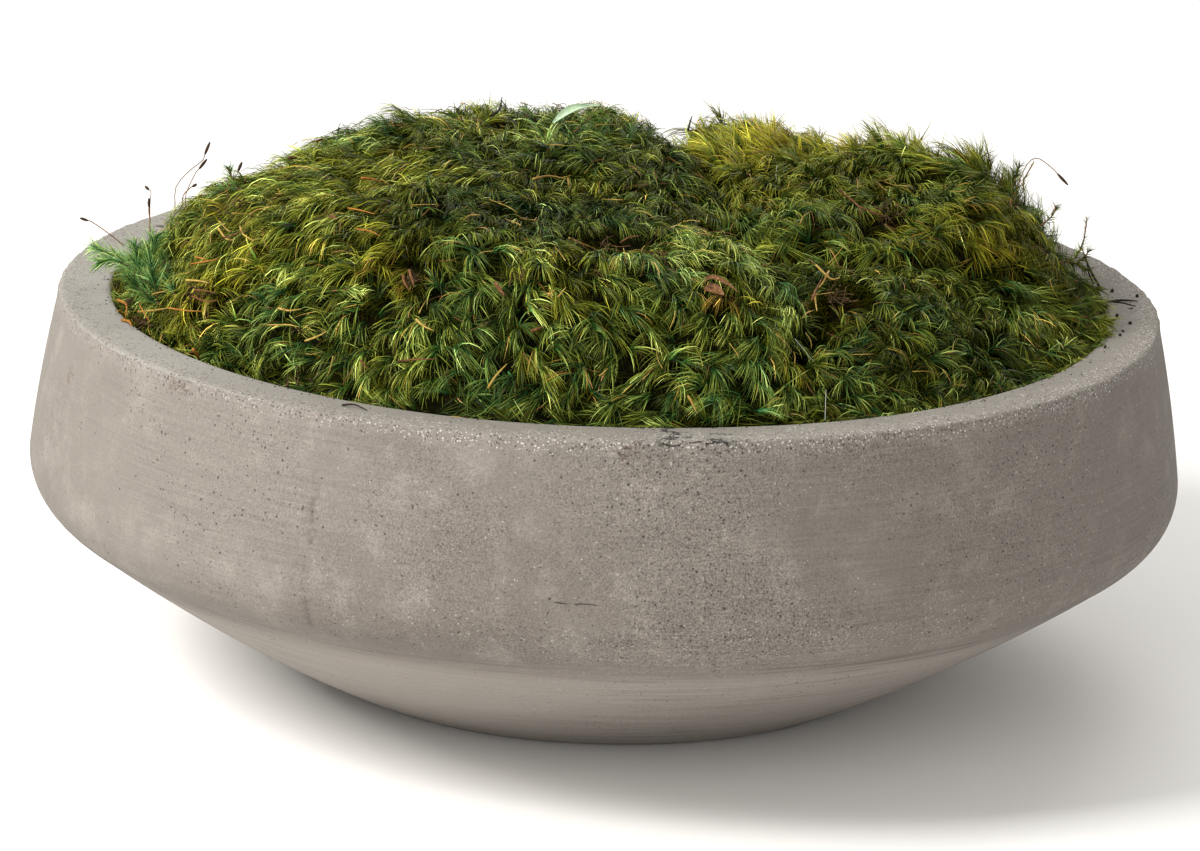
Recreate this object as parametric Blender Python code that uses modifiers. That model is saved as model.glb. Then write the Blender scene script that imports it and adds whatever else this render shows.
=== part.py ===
# A moss clump in a low, round concrete bowl.
# Metres, +Z up. The origin is the centre of the bowl's flat underside, and -Y faces the viewer.

import math

import bmesh
import bpy
from mathutils import Vector, noise

# Bowl: a thick wall, widest a little above half its height
BOWL_HEIGHT = 0.132
RIM_RADIUS = 0.1905
WIDEST_RADIUS = 0.200
WIDEST_HEIGHT = 0.076
SHOULDER_RADIUS = 0.189
SHOULDER_HEIGHT = 0.0565
FOOT_RADIUS = 0.099
WALL = 0.0185
FLOOR_THICKNESS = 0.018
RIM_EDGE_ROUNDING = 0.003
FOOT_EDGE_ROUNDING = 0.003
BAND_BULGE = 0.0008
FLANK_BULGE = 0.0024
TURN_STEPS = 56

# The bend under the band: how far its pull lies outside the widest radius and over the shoulder
BEND_OUT = 0.0008
BEND_UP = 0.0078

# Inside of the bowl: how far its floor stops short of the foot's radius, how far its shoulder lies
# outside and over the outer one less the wall, and how much higher it is widest
FLOOR_SHORT = 0.010
INNER_SHOULDER_OUT = 0.001
INNER_SHOULDER_UP = 0.009
INNER_WIDEST_UP = 0.004
INNER_BEND_UP = 0.006

# Soil: fills the bowl and is heaped under the moss
SOIL_EDGE_HEIGHT = 0.113
SOIL_CROWN = 0.028
SOIL_RINGS = 6
GAP = 0.0003

# Moss: three clumps pressed together, parted by two folds
FOLD_GAP = 0.0006
LEFT_FOLD_DEPTH = 0.010
CROSS_FOLD_DEPTH = 0.008
FOLD_WIDTH = 0.030
EDGE_DEPTH = 0.004
LUMP_SIZE = 0.040
LUMP_HEIGHT = 0.016
TUFT_SIZE = 0.018
TUFT_HEIGHT = 0.0045
LUMP_START = 0.018
LUMP_MEAN = 0.2

# Underside of a clump: how far out it stays flat, and how square its edge is
UNDERSIDE_FLATNESS = 6.0
UNDERSIDE_EDGE = 0.25

# The folds, seen from above: where each crosses its axis, its slant, and its wave's depth and turns
LEFT_FOLD = {"at": 0.041, "slant": -0.15, "wave": 0.004, "turns": 34.0}
CROSS_FOLD = {"at": -0.074, "slant": 0.24, "wave": 0.004, "turns": 45.0}

# Widths over which the moss rises from the rim to its crest, towards the right, back, left and front,
# and how round that rise is
SIDE_WIDTHS = (0.040, 0.065, 0.094, 0.056)
SIDE_ROUNDNESS = (1.25, 2.0, 1.9, 2.1)

# Each clump: the point its outline is measured from, the height of its crest over the rim there, how
# much that changes for each metre towards +X and +Y, how many cuts its cage has along an edge, and the
# seed of its lumps
CLUMPS = {
    "moss_clump_left": {
        "centre": (-0.045, 0.012), "crest": 0.0435, "slope": (-0.03, 0.0), "cuts": 13, "seed": 3.1,
    },
    "moss_clump_back_right": {
        "centre": (0.094, 0.045), "crest": 0.046, "slope": (0.04, 0.0), "cuts": 11, "seed": 7.4,
    },
    "moss_clump_front_right": {
        "centre": (0.103, -0.082), "crest": 0.034, "slope": (-0.02, 0.12), "cuts": 9, "seed": 12.7,
    },
}

# Swells and hollows that stand out: place, radius, and height over or depth under the clump
SWELLS = [
    {"at": (-0.118, -0.070), "radius": 0.034, "rise": 0.007},
    {"at": (-0.062, 0.030), "radius": 0.040, "rise": 0.004},
    {"at": (-0.146, 0.045), "radius": 0.028, "rise": 0.009},
    {"at": (0.137, 0.038), "radius": 0.020, "rise": 0.003},
    {"at": (0.108, 0.065), "radius": 0.022, "rise": 0.005},
    {"at": (0.064, 0.085), "radius": 0.026, "rise": -0.006},
    {"at": (-0.040, -0.075), "radius": 0.036, "rise": 0.004},
    {"at": (0.018, -0.115), "radius": 0.030, "rise": 0.005},
    {"at": (0.000, -0.088), "radius": 0.017, "rise": -0.009},
    {"at": (-0.066, -0.112), "radius": 0.015, "rise": -0.006},
    {"at": (0.083, -0.070), "radius": 0.017, "rise": -0.008},
    {"at": (0.104, 0.010), "radius": 0.018, "rise": -0.006},
]

MATERIALS = {
    "concrete": {"colour": (0.37, 0.34, 0.31), "roughness": 0.88},
    "soil": {"colour": (0.055, 0.032, 0.018), "roughness": 0.95},
    "moss_dark_green": {"colour": (0.055, 0.105, 0.018), "roughness": 0.6},
    "moss_ochre_green": {"colour": (0.150, 0.145, 0.020), "roughness": 0.6},
    "moss_fine_green": {"colour": (0.050, 0.085, 0.020), "roughness": 0.65},
}


def clear_scene():
    for thing in list(bpy.data.objects):
        bpy.data.objects.remove(thing, do_unlink=True)


def new_collection(name):
    collection = bpy.data.collections.new(name)
    bpy.context.scene.collection.children.link(collection)
    return collection


def make_material(name):
    look = MATERIALS[name]
    material = bpy.data.materials.new(name)
    material.use_nodes = True
    shader = material.node_tree.nodes["Principled BSDF"]
    shader.inputs["Base Color"].default_value = (*look["colour"], 1.0)
    shader.inputs["Roughness"].default_value = look["roughness"]
    shader.inputs["Metallic"].default_value = 0.0
    return material


def place(collection, name, mesh, material):
    mesh.materials.append(make_material(material))
    piece = bpy.data.objects.new(name, mesh)
    collection.objects.link(piece)
    return piece


# Points of a profile, as (radius, height)

def bulged_line(start, end, bulge, count):
    """Points after start up to end, bowed by bulge to the left of the way from start to end."""
    along = Vector(end) - Vector(start)
    side = Vector((-along.y, along.x)).normalized()
    points = []
    for step in range(1, count + 1):
        part = step / count
        bow = bulge * 4.0 * part * (1.0 - part)
        points.append(tuple(Vector(start) + along * part + side * bow))
    return points


def soft_corner(start, corner, end, count):
    """Points after start up to end on the quadratic curve that corner pulls outwards."""
    points = []
    for step in range(1, count + 1):
        part = step / count
        point = (Vector(start) * (1 - part) ** 2 + Vector(corner) * 2 * part * (1 - part)
                 + Vector(end) * part ** 2)
        points.append(tuple(point))
    return points


def outer_side():
    """The bowl's outside, from the top of the rim down to the edge of its foot."""
    rim = (RIM_RADIUS - RIM_EDGE_ROUNDING, BOWL_HEIGHT)
    band_top = (RIM_RADIUS, BOWL_HEIGHT - RIM_EDGE_ROUNDING)
    widest = (WIDEST_RADIUS, WIDEST_HEIGHT)
    flank_top = (SHOULDER_RADIUS, SHOULDER_HEIGHT)
    flank = Vector(flank_top) - Vector((FOOT_RADIUS, 0.0))
    foot_top = Vector((FOOT_RADIUS, 0.0)) + flank.normalized() * FOOT_EDGE_ROUNDING
    points = [rim]
    points += soft_corner(rim, (RIM_RADIUS, BOWL_HEIGHT), band_top, 2)
    points += bulged_line(band_top, widest, BAND_BULGE, 3)
    points += soft_corner(widest, (WIDEST_RADIUS + BEND_OUT, SHOULDER_HEIGHT + BEND_UP), flank_top, 4)
    points += bulged_line(flank_top, tuple(foot_top), FLANK_BULGE, 5)
    points += soft_corner(tuple(foot_top), (FOOT_RADIUS, 0.0), (FOOT_RADIUS - FOOT_EDGE_ROUNDING, 0.0), 2)
    return points


def inner_side(inset=0.0):
    """The bowl's inside, from its floor up to the rim, or that moved inwards by inset."""
    floor = FLOOR_THICKNESS + inset
    foot = (FOOT_RADIUS - FLOOR_SHORT - inset, floor)
    flank_top = (SHOULDER_RADIUS - WALL + INNER_SHOULDER_OUT - inset,
                 SHOULDER_HEIGHT + INNER_SHOULDER_UP + inset)
    widest = (WIDEST_RADIUS - WALL - inset, WIDEST_HEIGHT + INNER_WIDEST_UP)
    rim = (RIM_RADIUS - WALL - inset, BOWL_HEIGHT)
    points = [foot]
    points += bulged_line(foot, flank_top, -FLANK_BULGE, 3)
    points += soft_corner(flank_top, (widest[0], flank_top[1] + INNER_BEND_UP), widest, 2)
    points += bulged_line(widest, rim, -BAND_BULGE, 2)
    return points


def turn(name, points):
    """The solid that the profile sweeps round Z; it starts and ends on the axis."""
    mesh = bpy.data.meshes.new(name)
    edges = [(index, index + 1) for index in range(len(points) - 1)]
    mesh.from_pydata([(radius, 0.0, height) for radius, height in points], edges, [])
    return mesh


def add_turn(piece):
    screw = piece.modifiers.new("turn", "SCREW")
    screw.axis = "Z"
    screw.steps = TURN_STEPS
    screw.render_steps = TURN_STEPS
    screw.use_merge_vertices = True
    screw.merge_threshold = 0.00001
    screw.use_smooth_shade = True


def make_bowl(collection):
    inside = inner_side()
    lip = inside[-1]
    inside[-1] = (lip[0], lip[1] - RIM_EDGE_ROUNDING)
    lip_top = (lip[0] + RIM_EDGE_ROUNDING, lip[1])
    points = [(0.0, FLOOR_THICKNESS)] + inside
    points += soft_corner(inside[-1], lip, lip_top, 2)
    points += outer_side() + [(0.0, 0.0)]
    piece = place(collection, "concrete_bowl", turn("concrete_bowl", points), "concrete")
    add_turn(piece)


def soil_radius():
    """Where the heaped soil meets the wall: the inside of the bowl at the soil's edge height."""
    side = inner_side(GAP)
    low, high = side[-3], side[-1]
    part = (SOIL_EDGE_HEIGHT - low[1]) / (high[1] - low[1])
    return low[0] + (high[0] - low[0]) * part


def soil_height(radius):
    """Top of the soil at a distance from the bowl's axis."""
    return SOIL_EDGE_HEIGHT + SOIL_CROWN * (1.0 - (radius / soil_radius()) ** 2)


def make_soil(collection):
    side = [point for point in inner_side(GAP) if point[1] < SOIL_EDGE_HEIGHT]
    edge = soil_radius() - 2 * GAP
    rings = [edge * ring / SOIL_RINGS for ring in range(SOIL_RINGS + 1)]
    top = [(radius, soil_height(radius)) for radius in rings]
    points = top + list(reversed(side)) + [(0.0, FLOOR_THICKNESS + GAP)]
    piece = place(collection, "soil_bed", turn("soil_bed", points), "soil")
    add_turn(piece)


# The folds between the clumps, seen from above

def fold_line(fold, along):
    """How far across a fold lies, at a place along it."""
    return fold["at"] + fold["slant"] * along + fold["wave"] * math.sin(fold["turns"] * along)


def left_fold(y):
    """X of the fold between the left clump and the two right ones."""
    return fold_line(LEFT_FOLD, y)


def cross_fold(x):
    """Y of the fold between the back right clump and the front right one."""
    return fold_line(CROSS_FOLD, x)


def moss_radius():
    """Room for moss inside the rim, whose turned wall is flat between its steps."""
    return (RIM_RADIUS - WALL) * math.cos(math.pi / TURN_STEPS) - GAP


def room(name, x, y):
    """How far a point is inside a clump's own ground: to the wall, and to each fold."""
    half = FOLD_GAP / 2
    to_wall = moss_radius() - math.hypot(x, y)
    if name == "moss_clump_left":
        return to_wall, left_fold(y) - x - half, 1.0
    beside = x - left_fold(y) - half
    if name == "moss_clump_back_right":
        return to_wall, beside, y - cross_fold(x) - half
    return to_wall, beside, cross_fold(x) - y - half


def reach(name, angle):
    """Distance from a clump's centre to its outline in one direction."""
    centre = CLUMPS[name]["centre"]
    near, far = 0.0, 2 * RIM_RADIUS
    for _ in range(32):
        middle = (near + far) / 2
        if min(room(name, *toward(centre, middle, angle))) > 0.0:
            near = middle
        else:
            far = middle
    return near


def toward(centre, distance, angle):
    return centre[0] + distance * math.cos(angle), centre[1] + distance * math.sin(angle)


def corner_angles(name, steps=1440):
    """Directions in which a clump's outline turns from the wall to a fold, or between folds."""
    centre = CLUMPS[name]["centre"]
    sides = []
    for step in range(steps):
        angle = 2 * math.pi * step / steps
        space = room(name, *toward(centre, reach(name, angle), angle))
        sides.append(space.index(min(space)))
    return [2 * math.pi * (step - 0.5) / steps for step in range(steps) if sides[step] != sides[step - 1]]


def fit_angle(angle, knots):
    """The angle moved so that the cage's nearest corners land on the outline's corners."""
    for (low, low_to), (high, high_to) in zip(knots, knots[1:]):
        if low <= angle <= high:
            return low_to + (angle - low) * (high_to - low_to) / (high - low)
    return angle


def angle_knots(name, cuts):
    """Pairs of cage angle and outline angle, once round and a little over at both ends."""
    step = math.pi / 2 / (cuts + 1)
    pairs = [(round(angle / step) * step, angle) for angle in corner_angles(name)]
    turn_back = [(low - 2 * math.pi, high - 2 * math.pi) for low, high in pairs[-1:]]
    turn_on = [(low + 2 * math.pi, high + 2 * math.pi) for low, high in pairs[:1]]
    return turn_back + pairs + turn_on


def swell(x, y):
    """Sum of the named swells and hollows at a point."""
    total = 0.0
    for one in SWELLS:
        distance = math.hypot(x - one["at"][0], y - one["at"][1]) / one["radius"]
        total += one["rise"] * math.exp(-distance * distance)
    return total


def lumps(x, y, seed):
    """Round cushions with creases between them, and smaller tufts on top."""
    nearest = noise.voronoi(Vector((x / LUMP_SIZE, y / LUMP_SIZE, seed)))[0][0]
    small = noise.noise(Vector((x / TUFT_SIZE, y / TUFT_SIZE, seed)))
    return LUMP_HEIGHT * (LUMP_MEAN - nearest * nearest) + TUFT_HEIGHT * small


def crest_height(clump, x, y):
    """Height of a clump's crest above the bowl's base, before its sides roll down."""
    across = clump["slope"][0] * (x - clump["centre"][0])
    deep = clump["slope"][1] * (y - clump["centre"][1])
    return BOWL_HEIGHT + clump["crest"] + across + deep


def by_direction(four, x, y):
    """A value for a point, blended from those for the right, back, left and front."""
    right, back, left, front = four
    far = max(1e-9, math.hypot(x, y))
    east, north = x / far, y / far
    return (right if east > 0 else left) * east * east + (back if north > 0 else front) * north * north


def rise(distance, width, roundness):
    """0 at an edge, 1 once the distance from it is the width, and round between."""
    return 1.0 - (1.0 - min(1.0, max(0.0, distance / width))) ** roundness


def moss_height(name, x, y):
    """Top of a clump at a point: its crest, rolled down into the folds and down to the rim."""
    to_wall, beside, across = room(name, x, y)
    crest = crest_height(CLUMPS[name], x, y)
    crest -= LEFT_FOLD_DEPTH * (1.0 - rise(beside, FOLD_WIDTH, 2.0))
    crest -= CROSS_FOLD_DEPTH * (1.0 - rise(across, FOLD_WIDTH, 2.0))
    edge = BOWL_HEIGHT - EDGE_DEPTH
    side = rise(to_wall, by_direction(SIDE_WIDTHS, x, y), by_direction(SIDE_ROUNDNESS, x, y))
    uneven = swell(x, y) + lumps(x, y, CLUMPS[name]["seed"])
    return edge + (crest - edge) * side + uneven * rise(to_wall, LUMP_START, 2.0)


def round_cage(cuts):
    """A ball of even faces with a ring of corners round its middle."""
    cage = bmesh.new()
    bmesh.ops.create_cube(cage, size=2.0)
    bmesh.ops.subdivide_edges(cage, edges=cage.edges[:], cuts=cuts, use_grid_fill=True)
    for vertex in cage.verts:
        vertex.co = Vector([math.tan(value * math.pi / 4) for value in vertex.co]).normalized()
    return cage


def make_clump(collection, name, material):
    """A ball pressed into the clump's outline: its top is the moss, its underside lies on the soil."""
    clump = CLUMPS[name]
    knots = angle_knots(name, clump["cuts"])
    cage = round_cage(clump["cuts"])
    for vertex in cage.verts:
        spread = math.hypot(vertex.co.x, vertex.co.y)
        from_top = math.atan2(spread, abs(vertex.co.z)) / (math.pi / 2)
        part = (spread + from_top) / 2
        angle = fit_angle(math.atan2(vertex.co.y, vertex.co.x) % (2 * math.pi), knots)
        distance = reach(name, angle)
        x, y = toward(clump["centre"], distance * part, angle)
        if vertex.co.z > -0.001:
            z = moss_height(name, x, y)
        else:
            edge = moss_height(name, *toward(clump["centre"], distance, angle))
            side = max(0.0, 1.0 - part ** UNDERSIDE_FLATNESS) ** UNDERSIDE_EDGE
            z = edge + (soil_height(math.hypot(x, y)) + GAP - edge) * side
        vertex.co = Vector((x, y, z))
    mesh = bpy.data.meshes.new(name)
    cage.to_mesh(mesh)
    cage.free()
    mesh.shade_smooth()
    place(collection, name, mesh, material)


def main():
    clear_scene()
    collection = new_collection("moss_clump")
    make_bowl(collection)
    make_soil(collection)
    make_clump(collection, "moss_clump_left", "moss_dark_green")
    make_clump(collection, "moss_clump_back_right", "moss_ochre_green")
    make_clump(collection, "moss_clump_front_right", "moss_fine_green")


main()
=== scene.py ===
import math
from functools import reduce
from itertools import product

import bmesh
import bpy
import numpy as np
from mathutils import Matrix, Vector, noise
from mathutils.bvhtree import BVHTree


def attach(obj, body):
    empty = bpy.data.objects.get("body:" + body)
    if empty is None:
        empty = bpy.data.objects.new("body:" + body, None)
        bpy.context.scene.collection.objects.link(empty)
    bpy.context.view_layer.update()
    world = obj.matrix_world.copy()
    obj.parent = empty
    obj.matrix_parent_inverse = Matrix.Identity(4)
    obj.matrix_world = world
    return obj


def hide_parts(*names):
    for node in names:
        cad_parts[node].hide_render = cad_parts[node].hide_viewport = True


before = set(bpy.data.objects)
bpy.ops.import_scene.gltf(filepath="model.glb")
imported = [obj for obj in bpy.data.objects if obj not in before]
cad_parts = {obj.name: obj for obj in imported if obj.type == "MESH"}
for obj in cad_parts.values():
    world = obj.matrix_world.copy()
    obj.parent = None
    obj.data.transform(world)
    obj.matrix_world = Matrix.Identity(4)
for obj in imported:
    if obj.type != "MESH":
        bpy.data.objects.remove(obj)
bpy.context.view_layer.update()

# Moss in a low concrete bowl. Metres, +Z up, the viewer stands at -Y.
# Each piece has its own values beside the code that uses them.


# camera and studio

print("camera")
cameraSet = {
    "lens": 163.5,
    "sensor": 36.0,
    "clip": (0.05, 50.0),
    "distance": 1.9046,  # from the camera to where it looks
    "tiltDegrees": 15.586,
    "rollDegrees": 1.982,
    "lookAt": (-0.0018, 0.0, 0.0840),
}
photoSize = (1200, 851)  # the photo's pixels, which many places below are given in


def makeCamera(values):
    tilt = math.radians(values["tiltDegrees"])
    roll = math.radians(values["rollDegrees"])
    forward = Vector((0.0, math.cos(tilt), -math.sin(tilt)))
    right = Vector((1.0, 0.0, 0.0))
    up = right.cross(forward)
    turnedRight = right * math.cos(roll) + up * math.sin(roll)
    turnedUp = up * math.cos(roll) - right * math.sin(roll)
    camera = bpy.data.objects.new("camera", bpy.data.cameras.new("camera"))
    bpy.context.scene.collection.objects.link(camera)
    camera.data.lens = values["lens"]
    camera.data.sensor_width = values["sensor"]
    camera.data.clip_start, camera.data.clip_end = values["clip"]
    place = Matrix((turnedRight, turnedUp, -forward)).transposed().to_4x4()
    place.translation = Vector(values["lookAt"]) - forward * values["distance"]
    camera.matrix_world = place
    bpy.context.scene.camera = camera
    return camera


camera = makeCamera(cameraSet)
viewPlace = camera.matrix_world.translation.copy()
viewRight, viewUp, viewBack = [Vector(way[:3]) for way in camera.matrix_world.transposed()[:3]]
viewForward = -viewBack
pixelsFocal = cameraSet["lens"] / cameraSet["sensor"] * photoSize[0]


def wayThrough(pixel):
    # the direction in which a pixel of the photo looks
    return (viewForward + viewRight * ((pixel[0] - photoSize[0] / 2) / pixelsFocal)
            - viewUp * ((pixel[1] - photoSize[1] / 2) / pixelsFocal)).normalized()


def beside(pixel, point):
    # the place under a pixel that is as far from the camera as the point
    way = wayThrough(pixel)
    return viewPlace + way * ((point - viewPlace).dot(viewForward) / way.dot(viewForward))


def meshTree(mesh):
    points = [vertex.co for vertex in mesh.vertices]
    return BVHTree.FromPolygons(points, [face.vertices for face in mesh.polygons])


surfaceTrees = {name: meshTree(node.data) for name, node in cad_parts.items() if node.type == "MESH"}


def spotUnder(pixel):
    # what the photo shows at a pixel: the place on the moss or the bowl, the way it faces, and its node
    best = (None, None, None)
    nearest = 10.0
    for name, tree in surfaceTrees.items():
        spot, normal, _, away = tree.ray_cast(viewPlace, wayThrough(pixel), nearest)
        if spot is not None:
            best = (spot, normal, name)
            nearest = away
    return best


def footUnder(pixel):
    # the same for a pixel, or for the first one below it that shows the moss or the bowl
    for down in range(0, 80, 2):
        found = spotUnder((pixel[0], pixel[1] + down))
        if found[0] is not None:
            return found


print("studio")
studio = {
    "floorColour": (0.90, 0.90, 0.89),
    "floorRoughness": 0.9,
    "floorSize": 9.0,
    "skyColour": (1.0, 0.975, 0.94),
    "skyStrength": 0.60,
    "exposure": 0.0,
    "aim": (0.0, 0.0, 0.09),
    # where each soft box hangs, its size, its power and its colour
    "softBoxes": {
        "key": ((-1.25, -0.55, 1.15), 0.55, 34.0, (1.0, 0.985, 0.955)),
        "front": ((-0.35, -1.9, 0.95), 1.3, 10.0, (1.0, 0.98, 0.95)),
        "back": ((0.5, 1.5, 1.5), 1.2, 16.0, (1.0, 0.985, 0.96)),
    },
}


def addObject(name, mesh, material):
    mesh.materials.append(material)
    thing = bpy.data.objects.new(name, mesh)
    bpy.context.scene.collection.objects.link(thing)
    return thing


def addPiece(name, mesh, material, node=None, smooth=True):
    # a piece of the part, with the node that it covers if there is one
    if smooth:
        mesh.shade_smooth()
    piece = addObject(name, mesh, material)
    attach(piece, "root")
    if node:
        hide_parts(node)


def newMesh(name, points, faces):
    mesh = bpy.data.meshes.new(name)
    mesh.from_pydata(points, [], faces)
    return mesh


def newMaterial(name, roughness):
    material = bpy.data.materials.new(name)
    material.use_nodes = True
    shader = material.node_tree.nodes["Principled BSDF"]
    shader.location = (600, 0)
    material.node_tree.nodes["Material Output"].location = (900, 0)
    shader.inputs["Roughness"].default_value = roughness
    return material, material.node_tree, shader


def makeStudio(values):
    scene = bpy.context.scene
    scene.view_settings.view_transform = "Standard"
    scene.view_settings.look = "None"
    scene.view_settings.exposure = values["exposure"]
    world = bpy.data.worlds.new("paleSky")
    world.use_nodes = True
    sky = world.node_tree.nodes["Background"]
    sky.inputs["Color"].default_value = (*values["skyColour"], 1.0)
    sky.inputs["Strength"].default_value = values["skyStrength"]
    scene.world = world
    for name, (place, size, watts, colour) in values["softBoxes"].items():
        light = bpy.data.lights.new(name, "AREA")
        light.shape = "SQUARE"
        light.size = size
        light.energy = watts
        light.color = colour
        lamp = bpy.data.objects.new(name, light)
        lamp.location = place
        aim = Vector(values["aim"]) - Vector(place)
        lamp.rotation_euler = aim.to_track_quat("-Z", "Y").to_euler()
        scene.collection.objects.link(lamp)
    half = values["floorSize"] / 2
    corners = [(-half, -half, 0.0), (half, -half, 0.0), (half, half, 0.0), (-half, half, 0.0)]
    material, tree, shader = newMaterial("paleFloor", values["floorRoughness"])
    shader.inputs["Base Color"].default_value = (*values["floorColour"], 1.0)
    addObject("floor", newMesh("floor", corners, [(0, 1, 2, 3)]), material)


makeStudio(studio)


# helpers for node trees; a value is a number, a colour or the socket of another node

def feed(socket, value):
    if isinstance(value, bpy.types.NodeSocket):
        socket.id_data.links.new(value, socket)
    elif socket.type == "RGBA" and len(value) == 3:
        socket.default_value = (*value, 1.0)
    else:
        socket.default_value = value


def addNode(tree, kind, inputs=None, **settings):
    # nodes stand in rows of twelve, in the order in which they are made
    node = tree.nodes.new("ShaderNode" + kind)
    row, column = divmod(len(tree.nodes), 12)
    node.location = (200 * column - 2200, -300 * row)
    for name, value in settings.items():
        setattr(node, name, value)
    for name, value in (inputs or {}).items():
        feed(node.inputs[name], value)
    return node


def doMath(operation, *values, clamp=False):
    tree = next(value.id_data for value in values if isinstance(value, bpy.types.NodeSocket))
    return addNode(tree, "Math", dict(enumerate(values)), operation=operation, use_clamp=clamp).outputs[0]


def times(first, second):
    return doMath("MULTIPLY", first, second)


def timesPlus(first, second, third):
    return doMath("MULTIPLY_ADD", first, second, third)


def plus(first, second):
    return doMath("ADD", first, second)


def minus(first, second):
    return doMath("SUBTRACT", first, second)


def largest(first, second):
    return doMath("MAXIMUM", first, second)


def apart(first, second):
    return doMath("ABSOLUTE", minus(first, second))


def hypotenuse(first, second):
    return doMath("SQRT", plus(times(first, first), times(second, second)))


def fade(value, low, high, toLow=0.0, toHigh=1.0):
    # a soft step from one value to another while the input goes from low to high
    values = {"Value": value, "From Min": low, "From Max": high, "To Min": toLow, "To Max": toHigh}
    return addNode(value.id_data, "MapRange", values, interpolation_type="SMOOTHSTEP").outputs["Result"]


def mixColours(factor, first, second):
    values = {"Factor": factor, 6: first, 7: second}
    return addNode(factor.id_data, "Mix", values, data_type="RGBA").outputs[2]


def scaleColour(colour, factor):
    return addNode(colour.id_data, "VectorMath", {0: colour, "Scale": factor}, operation="SCALE").outputs[0]


def addNoise(vector, scale, detail=3.0, roughness=0.55, distortion=0.0):
    values = {"Vector": vector, "Scale": scale, "Detail": detail, "Roughness": roughness,
              "Distortion": distortion}
    return addNode(vector.id_data, "TexNoise", values).outputs["Fac"]


def addBump(shader, height, strength, distance):
    values = {"Height": height, "Strength": strength, "Distance": distance}
    feed(shader.inputs["Normal"], addNode(height.id_data, "Bump", values).outputs[0])


def newGroup(name, inputs, outputs):
    # each input has its first value, or the kind of its socket; gives the group and all its sockets
    group = bpy.data.node_groups.new(name, "ShaderNodeTree")
    for label, value in inputs.items():
        kind = value if isinstance(value, str) else "Color" if isinstance(value, tuple) else "Float"
        socket = group.interface.new_socket(label, in_out="INPUT", socket_type="NodeSocket" + kind)
        if kind != value:
            socket.default_value = value
    for label, kind in outputs.items():
        group.interface.new_socket(label, in_out="OUTPUT", socket_type="NodeSocket" + kind)
    start = group.nodes.new("NodeGroupInput")
    start.location = (-2600, 0)
    end = group.nodes.new("NodeGroupOutput")
    end.location = (600, 0)
    return group, *start.outputs[:-1], *end.inputs[:-1]


def placeGroup(tree, group, **inputs):
    return addNode(tree, "Group", inputs, node_tree=group).outputs


# shader groups that several materials use

print("shader groups")

# small round dots: a random share of the cells of a grid of points
dotsGroup, place, scale, size, share, mask = newGroup(
    "dots", {"Vector": "Vector", "Scale": 300.0, "Size": 0.2, "Share": 0.3}, {"Mask": "Float"})
cells = addNode(dotsGroup, "TexVoronoi", {"Vector": place, "Scale": scale}).outputs
pick = addNode(dotsGroup, "SeparateColor", {0: cells["Color"]}).outputs
radius = times(timesPlus(times(pick[1], pick[1]), 0.7, 0.3), size)
soft = doMath("DIVIDE", minus(radius, cells["Distance"]), radius, clamp=True)
feed(mask, times(soft, doMath("LESS_THAN", pick[0], share)))

# large clouds and smaller patches between a dark, a middle and a pale colour
shades = {"Dark": (0.2, 0.2, 0.2, 1.0), "Middle": (0.4, 0.4, 0.4, 1.0), "Pale": (0.6, 0.6, 0.6, 1.0)}
mottleGroup, place, scale, dark, middle, pale, colour, height = newGroup(
    "mottle", {"Vector": "Vector", "Scale": 10.0, **shades}, {"Color": "Color", "Height": "Float"})
clouds = addNoise(place, scale, 5.0, 0.6, 0.4)
fine = addNoise(place, times(scale, 6.3), 6.0, 0.7)
feed(colour, mixColours(fade(fine, 0.46, 0.74), mixColours(fade(clouds, 0.30, 0.56), dark, middle), pale))
feed(height, fine)

# grains of two sizes, about 0 to 1
sandGroup, place, scale, value = newGroup("sand", {"Vector": "Vector", "Scale": 900.0}, {"Value": "Float"})
coarse = addNoise(place, times(scale, 0.36), 1.0, 0.5)
fine = addNoise(place, scale, 1.0, 0.5)
feed(value, timesPlus(fine, 1.6, plus(timesPlus(coarse, 0.35, -0.175), -0.3)))

# a ragged spot round one place
stainGroup, place, middle, radius, mask = newGroup(
    "stain", {"Vector": "Vector", "At": "Vector", "Radius": 0.003}, {"Mask": "Float"})
away = addNode(stainGroup, "VectorMath", {0: place, 1: middle}, operation="DISTANCE").outputs["Value"]
uneven = timesPlus(addNoise(place, 650.0, 3.0, 0.8), 4.5, plus(doMath("DIVIDE", away, radius), -2.1))
feed(mask, fade(uneven, 1.0, 0.4))

# a thin wavering line at a height on the front, broken here and there
crackGroup, place, height, middle, half, width, waver, mask = newGroup(
    "crackLine", {"Vector": "Vector", "Height": 0.1, "Middle": 0.0, "Half": 0.01, "Width": 0.0004,
                  "Waver": 0.002}, {"Mask": "Float"})
x, y, z = addNode(crackGroup, "SeparateXYZ", {0: place}).outputs
shifted = timesPlus(minus(addNoise(place, 120.0, 4.0, 0.7), 0.5), waver, minus(z, height))
thin = doMath("DIVIDE", doMath("ABSOLUTE", shifted), width)
line = times(fade(thin, 1.0, 0.4), fade(doMath("DIVIDE", apart(x, middle), half), 1.0, 0.75))
broken = fade(addNoise(place, 260.0, 2.0), 0.36, 0.50)
feed(mask, times(line, times(broken, doMath("LESS_THAN", y, 0.0))))


def makeMottled(name, dark, middle, pale, scale, roughness, gloss, bump, relief):
    # an earthy material in three shades with a fine relief
    material, tree, shader = newMaterial(name, roughness)
    shader.inputs["Specular IOR Level"].default_value = gloss
    place = addNode(tree, "TexCoord").outputs["Object"]
    mottle = placeGroup(tree, mottleGroup, Vector=place, Scale=scale, Dark=dark, Middle=middle, Pale=pale)
    feed(shader.inputs["Base Color"], mottle["Color"])
    addBump(shader, mottle["Height"], bump, relief)
    return material


# concrete bowl

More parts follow.
